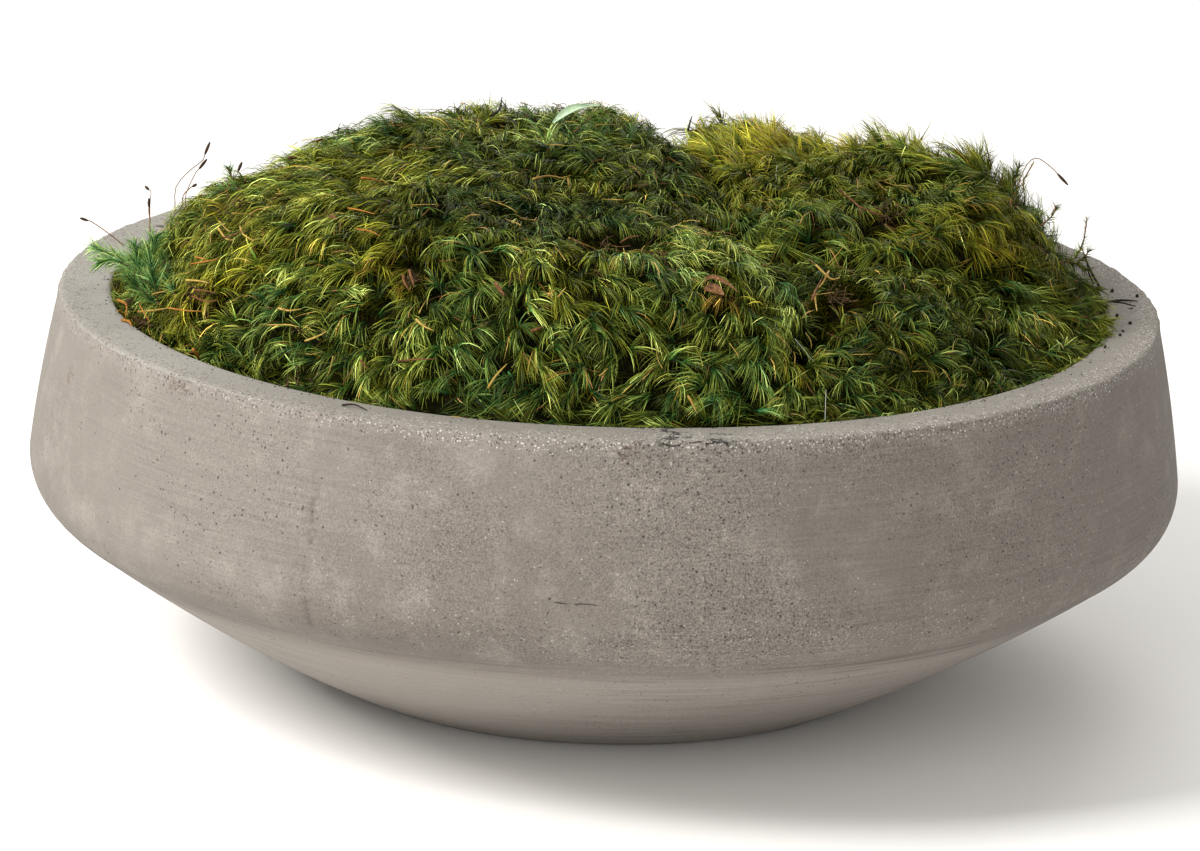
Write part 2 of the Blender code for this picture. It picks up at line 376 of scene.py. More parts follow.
print("concrete bowl")
bowl = {
    "height": 0.132,
    "rimRadius": 0.1905,
    "widest": (0.200, 0.076),  # radius and height
    "shoulder": (0.189, 0.0565),
    "shoulderPull": (0.2008, 0.0643),
    "footRadius": 0.099,
    "wall": 0.0185,
    "floorThickness": 0.018,
    "rimRounding": 0.0022,
    "footRounding": 0.003,
    "bandBulge": 0.0008,
    "flankBulge": 0.0024,
    "stepsRound": 450,  # corners of each ring
    "waviness": 0.0004,
    "edgeWear": 0.0011,
    "wearReach": 0.006,
    "paleGrey": (0.262, 0.235, 0.209),
    "flankBounceLitGrey": (0.315, 0.283, 0.254),
    "grey": (0.190, 0.168, 0.147),
    "darkGrey": (0.140, 0.121, 0.104),
    "rimGrey": (0.212, 0.198, 0.170),
    "leftRimLitGrey": (0.292, 0.282, 0.256),
    "streakAndShadeGrey": (0.120, 0.104, 0.090),
    "poreGrey": (0.055, 0.044, 0.037),
    "crackGrey": (0.022, 0.018, 0.015),
    "stainBrown": (0.088, 0.056, 0.040),
    "grainGrey": (0.560, 0.535, 0.500),
    "mottleScale": 9.0,
    "sandScale": 1700.0,
    "sandContrast": 1.35,
    "brushing": 0.50,
    "streakScale": (16.0, 16.0, 820.0),
    "poreHeight": 0.066,
    "roughness": 0.88,
    "relief": 0.0008,
}

# marks on the bowl, by the photo's pixel at their middle; cracks are wavering lines on the front
bowlMarks = {
    "seam": {"pixel": (314, 500), "high": 0.126, "low": 0.060, "width": 0.0026, "wander": 0.004,
             "dark": 0.38},
    "cracks": [
        {"pixel": (576, 604), "half": 0.0076, "width": 0.00028, "waver": 0.0022, "dark": 0.85},
        {"pixel": (698, 443), "half": 0.0140, "width": 0.00048, "waver": 0.0070, "dark": 1.0},
    ],
    # pixel, radius, depth and how dark its stain is
    "chips": [
        ((177, 382), 0.0030, 0.0012, 0.60),
        ((186, 387), 0.0024, 0.0012, 0.70),
        ((72, 376), 0.0032, 0.0008, 0.45),
        ((624, 450), 0.0024, 0.0010, 0.85),
        ((636, 448), 0.0022, 0.0008, 0.80),
        ((706, 446), 0.0026, 0.0010, 0.30),
        ((322, 414), 0.0020, 0.0008, 0.20),
        ((746, 609), 0.0020, 0.0006, 0.35),
    ],
}


def bowedLine(start, bow, end, count):
    start = np.array(start)
    along = np.array(end) - start
    side = np.array((-along[1], along[0])) / np.linalg.norm(along)
    part = np.linspace(0.0, 1.0, count + 1)[1:, None]
    return start + along * part + side * bow * 4.0 * part * (1.0 - part)


def softCorner(start, corner, end, count):
    start, corner, end = np.array((start, corner, end))
    part = np.linspace(0.0, 1.0, count + 1)[1:, None]
    return start * (1 - part) ** 2 + corner * 2 * part * (1 - part) + end * part ** 2


def bowlProfile(values):
    # the bowl's section from the middle of its floor, over the rim, to the middle of its foot
    rim, wall, height = values["rimRadius"], values["wall"], values["height"]
    rounding, footRounding = values["rimRounding"], values["footRounding"]
    widest, shoulder, foot = values["widest"], values["shoulder"], (values["footRadius"], 0.0)
    floorEdge = (foot[0] - 0.010, values["floorThickness"])
    innerShoulder = (shoulder[0] - wall + 0.001, shoulder[1] + 0.009)
    innerWidest = (widest[0] - wall, widest[1] + 0.004)
    flank = np.array(shoulder) - np.array(foot)
    footTop = tuple(np.array(foot) + flank / np.linalg.norm(flank) * footRounding)
    # where each line ends, how far it bows or the corner that it rounds, and its steps
    lines = [
        (floorEdge, 0.0, 3),
        (innerShoulder, -values["flankBulge"], 6),
        (innerWidest, (innerWidest[0], innerShoulder[1] + 0.006), 4),
        ((rim - wall, height - rounding), -values["bandBulge"], 12),
        ((rim - wall + rounding, height), (rim - wall, height), 4),
        ((rim - rounding, height), 0.0, 10),
        ((rim, height - rounding), (rim, height), 6),
        (widest, values["bandBulge"], 26),
        (shoulder, values["shoulderPull"], 10),
        (footTop, values["flankBulge"], 22),
        ((foot[0] - footRounding, 0.0), foot, 3),
        ((0.002, 0.0), 0.0, 3),
    ]
    start = (0.0, values["floorThickness"])
    profile = [[start]]
    for end, bend, count in lines:
        draw = softCorner if isinstance(bend, tuple) else bowedLine
        profile.append(draw(start, bend, end, count))
        start = end
    return np.concatenate(profile)


def wearBowl(points, values, marks):
    # how far each point of the bowl lies in from its true surface
    fromRim = np.hypot(points[:, 0], points[:, 1]) - values["rimRadius"]
    rimEdge = np.hypot(fromRim, points[:, 2] - values["height"])
    worn = np.zeros(len(points))
    for index, point in enumerate(points):
        point = Vector(point)
        worn[index] = noise.noise(point * 14.0) * values["waviness"]
        near = 1.0 - rimEdge[index] / values["wearReach"]
        if near > 0.0:
            chipped = 0.5 + 0.5 * noise.noise(point * 160.0) + 0.35 * noise.noise(point * 420.0)
            worn[index] += values["edgeWear"] * near * max(0.0, chipped - 0.25)
    for pixel, radius, depth, stain in marks["chips"]:
        away = np.linalg.norm(points - np.array(spotUnder(pixel)[0]), axis=1) / radius
        worn += depth * np.clip(1.0 - away ** 2, 0.0, 1.0)
    return worn


def makeBowl(values, marks):
    profile = bowlProfile(values)
    steps = values["stepsRound"]
    turn = np.arange(steps) * 2 * math.pi / steps
    ring = np.stack([np.sin(turn), -np.cos(turn)], 1)
    body = profile[1:]
    slope = np.gradient(profile, axis=0)[1:]
    inward = np.stack([-slope[:, 1], slope[:, 0]], 1) / np.linalg.norm(slope, axis=1)[:, None]
    points = np.stack([np.outer(body[:, 0], ring[:, 0]), np.outer(body[:, 0], ring[:, 1]),
                       np.repeat(body[:, 1:], steps, 1)], 2).reshape(-1, 3)
    worn = wearBowl(points, values, marks)
    worn[np.repeat(body[:, 1] <= 1e-6, steps)] = 0.0
    push = np.repeat(inward, steps, 0)
    points[:, 2] += worn * push[:, 1]
    points[:, :2] += (worn * push[:, 0])[:, None] * np.tile(ring, (len(body), 1))
    top = len(points)
    last = top - steps
    faces = []
    for low in range(0, last, steps):
        for step in range(steps):
            after = (step + 1) % steps
            faces.append((low + step, low + steps + step, low + steps + after, low + after))
    for step in range(steps):
        after = (step + 1) % steps
        faces += [(top, step, after), (last + step, top + 1, last + after)]
    mesh = newMesh("bowl", [*points.tolist(), (0.0, 0.0, profile[0, 1]), (0.0, 0.0, 0.0)], faces)
    tidy = bmesh.new()
    tidy.from_mesh(mesh)
    bmesh.ops.recalc_face_normals(tidy, faces=tidy.faces)
    tidy.to_mesh(mesh)
    tidy.free()
    return mesh


def makeConcrete(values, marks):
    material, tree, shader = newMaterial("wornConcrete", values["roughness"])
    place = addNode(tree, "TexCoord").outputs["Object"]
    x, y, z = addNode(tree, "SeparateXYZ", {0: place}).outputs
    height, shoulder = values["height"], values["shoulder"][1]

    # clouds and patches of the dried slurry, a paler rim's top, and painted light and shade
    mottle = placeGroup(tree, mottleGroup, Vector=place, Scale=values["mottleScale"], Dark=values["darkGrey"],
                        Middle=values["grey"], Pale=values["paleGrey"])
    onRight = fade(x, 0.04, 0.16)
    onLeft = fade(x, -0.06, -0.16)
    flank = fade(z, shoulder + 0.010, shoulder - 0.008)
    lowFlank = fade(z, shoulder + 0.003, shoulder - 0.011)
    topFace = fade(z, height - 0.0008, height - 0.0002)
    colour = mixColours(timesPlus(onRight, 0.25, 0.68), values["grey"], mottle["Color"])
    # painted light: the downward flank is paler where the floor lights it from below, most on the right
    colour = mixColours(times(lowFlank, timesPlus(onRight, 0.18, 0.82)), colour, values["flankBounceLitGrey"])
    # painted shade: the band is darker on the right, away from the light
    colour = mixColours(times(onRight, timesPlus(flank, -0.22, 0.22)), colour, values["darkGrey"])
    # painted light: the rim's top is paler on the left, where the light falls
    rimColour = mixColours(onLeft, values["rimGrey"], values["leftRimLitGrey"])
    colour = mixColours(times(topFace, 0.75), colour, rimColour)

    # brushed streaks round the bowl, strongest low on the band and under the shoulder, where painted shade
    # also lies
    stretch = addNode(tree, "Mapping", {"Scale": values["streakScale"], "Vector": place}).outputs[0]
    streaks = fade(addNoise(stretch, 1.0, 3.0, 0.6), 0.50, 0.70)
    patches = fade(addNoise(place, 7.0, 2.0), 0.38, 0.62)
    # painted shade: a darker band just under the shoulder, besides the streaks there
    crease = fade(apart(z, shoulder - 0.0035), 0.0085, 0.0)
    amount = timesPlus(crease, 0.45, timesPlus(times(fade(z, 0.112, 0.045), patches), 0.26, 0.10))
    colour = mixColours(timesPlus(streaks, amount, times(crease, 0.20)), colour, values["streakAndShadeGrey"])
    brushed = minus(addNoise(stretch, 1.6, 2.0, 0.6), 0.5)
    brushPart = fade(patches, 0.0, 1.0, 0.15 * values["brushing"], values["brushing"])
    colour = scaleColour(colour, timesPlus(brushed, brushPart, 1.0))

    # where the rim's outer edge is worn
    fromEdge = hypotenuse(times(minus(hypotenuse(x, y), values["rimRadius"]), 0.42), minus(z, height))
    ragged = addNoise(place, 90.0, 4.0, 0.7)
    wornEdge = fade(timesPlus(ragged, 0.010, fromEdge), 0.0110, 0.0070)

    # the seam of the mould
    seam = marks["seam"]
    spot = spotUnder(seam["pixel"])[0]
    turn = math.atan2(spot.x, -spot.y)
    across = timesPlus(x, math.cos(turn), times(y, math.sin(turn)))
    wander = timesPlus(addNoise(place, 45.0, 4.0, 0.7), seam["wander"], -seam["wander"] / 2)
    line = fade(doMath("ABSOLUTE", plus(across, wander)), seam["width"], 0.0)
    ends = times(fade(z, seam["high"], seam["high"] - 0.020), fade(z, seam["low"], seam["low"] + 0.004))
    broken = times(fade(addNoise(place, 240.0, 3.0), 0.40, 0.60), ends)
    seamPart = times(times(line, doMath("LESS_THAN", y, 0.0)), broken)

    # sand, pores, dark pits and pale grains
    sand = placeGroup(tree, sandGroup, Vector=place, Scale=values["sandScale"])["Value"]
    clouds = addNoise(place, 13.0, 3.0)
    calm = fade(x, -0.15, -0.02, 0.35, 1.0)
    gritty = times(fade(clouds, 0.36, 0.64, 0.35, 1.0), calm)
    speckle = times(gritty, 0.08)
    gritty = times(gritty, timesPlus(onRight, -0.35, 1.0))
    rubbed = timesPlus(timesPlus(topFace, 0.7, flank), -0.75, 1.0)
    contrast = times(gritty, times(rubbed, values["sandContrast"]))
    colour = scaleColour(colour, timesPlus(minus(sand, 0.5), contrast, 1.0))
    lowEdge = times(fade(apart(z, values["poreHeight"]), 0.011, 0.002), fade(ragged, 0.40, 0.62))
    clusters = times(largest(fade(clouds, 0.50, 0.63), lowEdge), rubbed)
    clusters = largest(times(clusters, gritty), seamPart)

    def addDots(scale, size, share):
        group = placeGroup(tree, dotsGroup, Vector=place, Scale=scale, Size=size, Share=share)
        return fade(group["Mask"], 0.0, 0.45)

    pores = addDots(700.0, 0.40, timesPlus(clusters, 0.80, 0.02))
    pits = addDots(1050.0, 0.55, timesPlus(wornEdge, 0.90, speckle))
    grains = addDots(1150.0, 0.55, timesPlus(largest(wornEdge, times(lowEdge, 0.5)), 0.95, speckle))
    pale = times(times(grains, timesPlus(wornEdge, 0.45, 0.45)), calm)

    # stains in the chips, and the two cracks
    stains = []
    for pixel, radius, depth, dark in marks["chips"]:
        stain = placeGroup(tree, stainGroup, Vector=place, At=spotUnder(pixel)[0], Radius=radius * 1.25)
        stains.append(times(stain["Mask"], dark))
    cracks = []
    for crack in marks["cracks"]:
        spot = spotUnder(crack["pixel"])[0]
        line = placeGroup(tree, crackGroup, Vector=place, Height=spot.z, Middle=spot.x, Half=crack["half"],
                          Width=crack["width"], Waver=crack["waver"])
        cracks.append(times(line["Mask"], crack["dark"]))
    crackPart = reduce(largest, cracks)
    layers = [(times(wornEdge, 0.30), "paleGrey"), (times(pores, 0.95), "poreGrey"),
              (times(pits, 0.80), "poreGrey"), (pale, "grainGrey"), (reduce(largest, stains), "stainBrown"),
              (crackPart, "crackGrey"), (times(seamPart, seam["dark"]), "poreGrey")]
    for part, shade in layers:
        colour = mixColours(part, colour, values[shade])
    feed(shader.inputs["Base Color"], colour)

    rough = addNoise(place, 210.0, 4.0, 0.7)
    relief = timesPlus(rough, timesPlus(wornEdge, 0.9, 0.12), times(sand, 0.14))
    for mask, depth in ((pores, 0.6), (pits, 0.5), (crackPart, 1.0)):
        relief = timesPlus(mask, -depth, relief)
    addBump(shader, relief, 0.55, values["relief"])
    return material


bowlMesh = makeBowl(bowl, bowlMarks)
addPiece("bowl", bowlMesh, makeConcrete(bowl, bowlMarks), "concrete_bowl")
surfaceTrees["concrete_bowl"] = meshTree(bowlMesh)


# soil

print("soil")
soil = {
    "dark": (0.018, 0.011, 0.007),
    "middle": (0.045, 0.028, 0.016),
    "pale": (0.12, 0.08, 0.048),
    "scale": 60.0,
    "roughness": 0.95,
    "gloss": 0.1,
    "bump": 0.9,
    "relief": 0.002,
}
earthMaterial = makeMottled("darkEarth", **soil)
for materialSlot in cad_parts["soil_bed"].material_slots:
    materialSlot.material = earthMaterial


# moss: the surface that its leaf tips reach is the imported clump's own

print("moss")
mossLook = {
    "hueSteps": 16,
    "tintSteps": 8,
    "roughness": 0.34,
    "gloss": 0.07,
    "deadShare": 0.035,
    "deadHue": (0.90, 1.0),
    "deadTint": 0.10,
    "glintShare": 0.09,
    "glintHue": 0.05,
    "glintTint": 0.20,
    "witheredHue": 0.5,
    "witheredDark": 0.12,
    "hollowShade": 0.70,
}

# Old leaves fill the clump, and plumes of young ones lie over them. The leaves of a shoot spread by its
# fan, turn back by its gather and rise and droop by its arch; they stand in strands along its stem.
mossLayers = {
    # the old leaves' low tint is partly painted shade deep in the clump
    "old": {
        "spacing": 0.0054, "leaves": 26, "segments": 2, "length": 0.0110, "width": 0.00034,
        "sink": 0.0054, "stagger": 0.0008, "stem": 0.0030, "scatter": 0.0012, "fan": 1.5, "gather": 0.8,
        "jitter": 0.35, "tint": -0.24, "hue": 0.04, "spread": 0.12, "arch": 0.0, "strands": 6,
    },
    "plumes": {
        "spacing": 0.0060, "leaves": 46, "segments": 4, "length": 0.0138, "width": 0.00034,
        "sink": 0.0030, "stagger": 0.0014, "stem": 0.0078, "scatter": 0.0004, "fan": 1.15, "gather": 0.35,
        "jitter": 0.15, "tint": 0.02, "hue": -0.02, "spread": 0.17, "arch": 0.30, "strands": 8,
    },
}

# Guides say how the moss lies round a place: the way its tips point (degrees from +X towards +Y), how
# upright they are, how far they stray, the share of rosettes, how long the leaves are, how yellow
# (0 is emerald, 1 is brown) and how bright. A clump's plumes are parted along X at its edges.
guideColumns = ("x", "y", "comb", "lift", "stray", "rosettes", "long", "hue", "tint")
mossClumps = {
    "moss_clump_left": {
        "slot": "moss_dark_green", "seed": 11, "size": 1.0, "rimReach": 0.0035, "contrast": 1.0,
        "parts": ["left", "crown", "front"], "edges": [-0.080, -0.025],
        "guides": [
            (-0.150, -0.020, 198, 0.08, 0.35, 0.05, 1.05, 0.44, 0.49),
            (-0.110, -0.055, 206, 0.05, 0.20, 0.02, 1.20, 0.43, 0.45),
            (-0.115, -0.105, 222, 0.12, 0.90, 0.35, 0.85, 0.37, 0.43),
            (-0.085, -0.020, 203, 0.06, 0.30, 0.03, 1.20, 0.41, 0.48),
            (-0.110, 0.040, 170, 0.20, 0.50, 0.08, 1.00, 0.34, 0.50),
            (-0.050, 0.030, 238, 0.20, 0.75, 0.16, 1.10, 0.35, 0.37),
            (-0.030, 0.070, 110, 0.38, 0.90, 0.10, 1.00, 0.31, 0.46),
            (0.010, 0.030, 285, 0.16, 0.95, 0.26, 1.12, 0.31, 0.32),
            (-0.050, -0.070, 250, 0.08, 0.90, 0.14, 1.00, 0.30, 0.26),
            (-0.010, -0.050, 270, 0.10, 1.05, 0.16, 0.94, 0.29, 0.25),
            (-0.010, -0.120, 275, 0.06, 0.95, 0.16, 0.88, 0.30, 0.42),
            (0.035, -0.080, 308, 0.10, 0.55, 0.12, 0.98, 0.33, 0.60),
            (-0.120, 0.100, 140, 0.15, 0.50, 0.10, 1.00, 0.40, 0.48),
            (-0.020, 0.140, 85, 0.15, 0.60, 0.10, 1.00, 0.38, 0.46),
        ],
    },
    "moss_clump_back_right": {
        "slot": "moss_ochre_green", "seed": 23, "size": 1.0, "rimReach": 0.004, "contrast": 0.5,
        "parts": ["back_right"], "edges": [],
        "guides": [
            (0.050, 0.080, 120, 0.60, 0.45, 0.04, 1.00, 0.61, 0.58),
            (0.095, 0.085, 110, 0.75, 0.50, 0.05, 1.08, 0.58, 0.56),
            (0.137, 0.040, 150, 0.70, 0.40, 0.00, 1.05, 0.42, 0.45),
            (0.158, -0.010, 330, 0.25, 0.60, 0.10, 0.95, 0.38, 0.42),
            (0.060, 0.030, 235, 0.30, 0.80, 0.12, 0.90, 0.40, 0.47),
            (0.095, 0.000, 280, 0.30, 0.90, 0.15, 0.90, 0.37, 0.42),
            (0.060, -0.045, 300, 0.15, 0.80, 0.20, 0.90, 0.32, 0.47),
            (0.060, 0.140, 80, 0.20, 0.50, 0.08, 1.00, 0.50, 0.52),
            (0.140, 0.090, 30, 0.20, 0.50, 0.08, 1.00, 0.44, 0.48),
        ],
    },
    "moss_clump_front_right": {
        "slot": "moss_fine_green", "seed": 37, "size": 0.76, "rimReach": 0.006, "contrast": 1.0,
        "parts": ["front_right"], "edges": [],
        "guides": [
            (0.070, -0.105, 290, 0.12, 1.40, 0.30, 1.00, 0.30, 0.34),
            (0.120, -0.085, 312, 0.12, 1.40, 0.25, 1.00, 0.34, 0.38),
            (0.155, -0.040, 338, 0.22, 0.60, 0.10, 1.25, 0.36, 0.45),
            (0.095, -0.050, 270, 0.15, 1.40, 0.20, 1.00, 0.36, 0.40),
        ],
    },
}

# hollows without plumes, painted with shade, and spots where the leaves are withered: their pixel and radius
hollows = [((838, 288), 0.0130), ((600, 240), 0.0160), ((822, 334), 0.0060), ((700, 258), 0.0050),
           ((812, 312), 0.0060)]
witheredSpots = [((412, 280), 0.0060), ((885, 213), 0.0110), ((200, 292), 0.0090), ((236, 200), 0.0090),
                 ((130, 322), 0.0090), ((840, 300), 0.0150), ((722, 292), 0.0070)]


def unit(vectors):
    return vectors / np.maximum(np.linalg.norm(vectors, axis=-1, keepdims=True), 1e-12)


def clumpSurface(nodeName):
    # the clump's triangles, with a smooth normal for each corner
    surface = bmesh.new()
    surface.from_mesh(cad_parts[nodeName].data)
    bmesh.ops.remove_doubles(surface, verts=surface.verts[:], dist=0.00002)
    bmesh.ops.triangulate(surface, faces=surface.faces[:])
    bmesh.ops.recalc_face_normals(surface, faces=surface.faces[:])
    surface.normal_update()
    points = np.array([vertex.co[:] for vertex in surface.verts])
    normals = np.array([vertex.normal[:] for vertex in surface.verts])
    faces = np.array([[vertex.index for vertex in face.verts] for face in surface.faces])
    surface.free()
    return points, normals, faces


clumpSurfaces = {name: clumpSurface(name) for name in mossClumps}


def smoothField(points, size, seed):
    # a slow random value from about -1 to 1 over the ground
    return np.array([noise.noise(Vector((x / size, y / size, seed))) * 1.8 for x, y in points[:, :2]])


def hiddenFaces(nodeName, middles, faceNormals):
    # steep faces that a neighbouring clump or the wall covers
    others = [BVHTree.FromPolygons(points.tolist(), faces.tolist())
              for name, (points, normals, faces) in clumpSurfaces.items() if name != nodeName]
    hidden = faceNormals[:, 2] < -0.35
    for index in np.flatnonzero(~hidden & (faceNormals[:, 2] < 0.30)):
        way = Vector((*faceNormals[index, :2], 0.35)).normalized()
        start = Vector(middles[index]) + way * 0.0004
        covered = any(tree.ray_cast(start, way, 0.020)[0] for tree in others)
        hidden[index] = covered or middles[index, 2] < bowl["height"]
    return hidden


def scatter(nodeName, spacing, rng):
    # shoots on the clump's open side, none nearer to another than the spacing
    points, normals, faces = clumpSurfaces[nodeName]
    corners = points[faces]
    across = np.cross(corners[:, 1] - corners[:, 0], corners[:, 2] - corners[:, 0])
    hidden = hiddenFaces(nodeName, corners.mean(1), unit(across))
    area = np.where(hidden, 0.0, np.linalg.norm(across, axis=1) / 2)
    tries = int(area.sum() / spacing ** 2 * 5)
    picked = rng.choice(len(faces), tries, p=area / area.sum())
    first, second = rng.random((2, tries))
    over = first + second > 1.0
    first = np.where(over, 1.0 - first, first)
    second = np.where(over, 1.0 - second, second)
    weights = np.stack([1.0 - first - second, first, second], 1)[:, :, None]
    places = (corners[picked] * weights).sum(1)
    upward = unit((normals[faces[picked]] * weights).sum(1))
    cells = {}
    kept = []
    for index, place in enumerate(places):
        cell = tuple(int(part // spacing) for part in place)
        near = [places[other] - place for dx, dy, dz in product((-1, 0, 1), repeat=3)
                for other in cells.get((cell[0] + dx, cell[1] + dy, cell[2] + dz), ())]
        if all(gap @ gap >= spacing * spacing for gap in near):
            kept.append(index)
            cells.setdefault(cell, []).append(index)
    return places[kept], upward[kept]


def readGuides(places, normals, clump, rng):
    # each shoot's own values, blended from the guides near it, with its comb turned by patches
    guides = dict(zip(guideColumns, np.array(clump["guides"], float).T.copy()))
    away = places[:, None, :2] - np.stack([guides["x"], guides["y"]], 1)[None]
    weight = 1.0 / ((away ** 2).sum(2) + 0.012 ** 2) ** 2
    weight /= weight.sum(1, keepdims=True)
    lie = {name: weight @ guides[name] for name in guideColumns[3:]}
    angles = np.radians(guides["comb"])
    flow = weight @ np.stack([np.cos(angles), np.sin(angles)], 1)
    turn = smoothField(places, 0.022, clump["seed"]) + 0.6 * smoothField(places, 0.008, clump["seed"] + 5)
    turn = (turn + rng.normal(0.0, 0.25, len(places))) * lie["stray"]
    flow = np.stack([flow[:, 0] * np.cos(turn) - flow[:, 1] * np.sin(turn),
                     flow[:, 0] * np.sin(turn) + flow[:, 1] * np.cos(turn), np.zeros(len(flow))], 1)
    lie["comb"] = unit(flow - normals * (flow * normals).sum(1)[:, None])
    return lie


def bendPath(point, firstWay, lastWay, length, segments):
    # a path that starts one way and ends another
    path = [point]
    for segment in range(segments):
        part = (segment + 0.5) / segments
        point = point + unit(firstWay * (1.0 - part) + lastWay * part) * length / segments
        path.append(point)
    return np.stack(path, 1)


def leafPaths(places, normals, lie, layer, size, rng):
    # leaves leave their stem to both sides, rise, and arch over towards the comb
    shoots = len(places)
    owner = np.repeat(np.arange(shoots), layer["leaves"])
    count = len(owner)
    lift = np.clip(lie["lift"] + rng.normal(0.0, 0.08, shoots), 0.0, 1.0)
    rosette = rng.random(shoots) < lie["rosettes"]
    fan = layer["fan"] * rng.uniform(0.6, 1.2, shoots) * np.where(rosette, 2.6, 0.6 + 0.5 * lie["stray"])
    gather = np.where(rosette, 0.9, layer["gather"])
    height = rng.normal(0.0, layer["stagger"], shoots) - layer["sink"] * (1.0 + 0.8 * lift)
    apex = places + normals * height[:, None] * size
    lean = np.where(rosette, 0.1, 1.0 - 0.5 * lift)[:, None]
    stemWay = unit(normals * (0.30 + lift + 0.5 * rosette)[:, None] + lie["comb"] * lean)
    up = normals[owner]
    comb = lie["comb"][owner]
    side = np.cross(up, comb)
    strands = shoots * layer["strands"]
    strand = owner * layer["strands"] + rng.integers(0, layer["strands"], count)

    def varied(low, high, stray, scale=1.0):
        # a random value for each strand, and a little more for each leaf
        return rng.uniform(low, high, strands)[strand] * scale + rng.normal(0.0, stray, count)

    back = varied(0.0, 1.0, 0.08)
    turn = varied(-1.0, 1.0, 0.15, fan[owner])
    lastTurn = turn * gather[owner] + rng.normal(0.0, 0.10, count)
    outward = comb * np.cos(turn)[:, None] + side * np.sin(turn)[:, None]
    gathered = comb * np.cos(lastTurn)[:, None] + side * np.sin(lastTurn)[:, None]
    stray = rng.normal(0.0, layer["jitter"], (strands, 3))[strand]
    stray = stray + rng.normal(0.0, 1.0, (count, 3)) * np.where(rng.random(count) < 0.08, 0.40, 0.05)[:, None]
    start = apex[owner] - stemWay[owner] * (back * layer["stem"] * size)[:, None]
    start = start + rng.normal(0.0, layer["scatter"], (count, 3))
    rise = (varied(0.30, 1.00, 0.08) + 0.8 * lift[owner] + layer["arch"])[:, None]
    firstWay = unit(outward + up * rise + stray)
    droop = (varied(0.25, 0.90, 0.12) - 1.6 * lift[owner] + 1.5 * layer["arch"])[:, None]
    lastWay = unit(gathered - up * droop + stray)
    length = layer["length"] * size * rng.uniform(0.70, 1.10, count) * lie["long"][owner]
    length = (length * (1.0 + 0.15 * lift[owner]))[:, None]
    return bendPath(start, firstWay, lastWay, length, layer["segments"]), up, owner, strand


def keepOffRim(path, rimReach):
    # leaves stay inside the wall, or lie a little way over the rim's top
    wall = bowl["rimRadius"] - bowl["wall"] - 0.0004
    top = bowl["height"] + 0.0004
    away = np.hypot(path[..., 0], path[..., 1])
    over = np.maximum(away - wall, 0.0)
    held = wall + rimReach * (1.0 - np.exp(-over / rimReach))
    path[..., :2] *= np.where(over > 0.0, held / away, 1.0)[..., None]
    path[..., 2] = np.where(over > 0.0, np.maximum(path[..., 2], top), path[..., 2])
    return path


def addLeaves(name, material, node, path, up, width, tint, hue, rng):
    # a thin pointed strip along each path, and a bake map with a column for each hue and tint
    count, knots = path.shape[:2]
    segments = knots - 1
    along = np.gradient(path, axis=1)
    across = unit(np.cross(along, up[:, None]))
    raised = unit(np.cross(across, along))
    roll = rng.normal(0.0, 0.65, count)[:, None, None]
    across = across * np.cos(roll) + raised * np.sin(roll)
    share = np.arange(knots) / segments
    taper = (1.0 - 0.72 * share[:-1] ** 1.4)[None, :, None] * width[:, None, None] / 2
    sides = [path[:, :-1] - across[:, :-1] * taper, path[:, :-1] + across[:, :-1] * taper]
    points = np.concatenate([np.stack(sides, 2).reshape(count, -1, 3), path[:, -1:]], 1)
    perLeaf = 2 * segments + 1
    first = (np.arange(count) * perLeaf)[:, None, None]
    quads = first + np.array([[2 * step + corner for corner in (0, 1, 3, 2)] for step in range(segments - 1)])
    tips = first + np.array([[perLeaf - 3, perLeaf - 2, perLeaf - 1]])
    mesh = newMesh(name, points.reshape(-1, 3), quads.reshape(-1, 4).tolist() + tips.reshape(-1, 3).tolist())
    hues, tints = mossLook["hueSteps"], mossLook["tintSteps"]
    hueStep = np.repeat(np.round(np.clip(hue, 0.0, 1.0) * (hues - 1)), perLeaf)
    tintStep = np.repeat(np.round(np.clip(tint, 0.0, 1.0) * (tints - 1)), perLeaf)
    upward = np.tile(np.append(np.repeat(share[:-1], 2), 1.0), count)
    attributes = {"leafAlong": upward, "leafHue": hueStep / (hues - 1), "leafTint": tintStep / (tints - 1)}
    for label, values in attributes.items():
        attribute = mesh.attributes.new(label, "FLOAT", "POINT")
        attribute.data.foreach_set("value", values.astype(np.float32))
    sideways = np.tile(np.append(np.tile([-0.2, 0.2], segments), 0.0), count)
    column = (hueStep * tints + tintStep + 0.5 + sideways) / (hues * tints)
    bakeMap = np.stack([column, 0.02 + 0.96 * upward], 1)
    corners = np.zeros(len(mesh.loops), np.int32)
    mesh.loops.foreach_get("vertex_index", corners)
    mesh.uv_layers.new(name="OFBake").data.foreach_set("uv", bakeMap[corners].ravel())
    addPiece(name, mesh, material, node)


def addRamp(value, stops):
    node = addNode(value.id_data, "ValToRGB", {0: value})
    points = node.color_ramp.elements
    while len(points) < len(stops):
        points.new(0.5)
    for point, (place, colour) in zip(points, stops):
        point.position = place
        point.color = (*colour, 1.0)
    return node.outputs[0]


# colour along a leaf, for its hue from blue green to brown and its tint from dark to pale
leafColourGroup, shade, warmth, colour = newGroup(
    "leafColour", {"Shade": 1.0, "Warmth": 0.0}, {"Color": "Color"})
hue, tint, along = [addNode(leafColourGroup, "Attribute", attribute_name=name).outputs["Fac"]
                    for name in ("leafHue", "leafTint", "leafAlong")]
warm = doMath("ADD", hue, warmth, clamp=True)
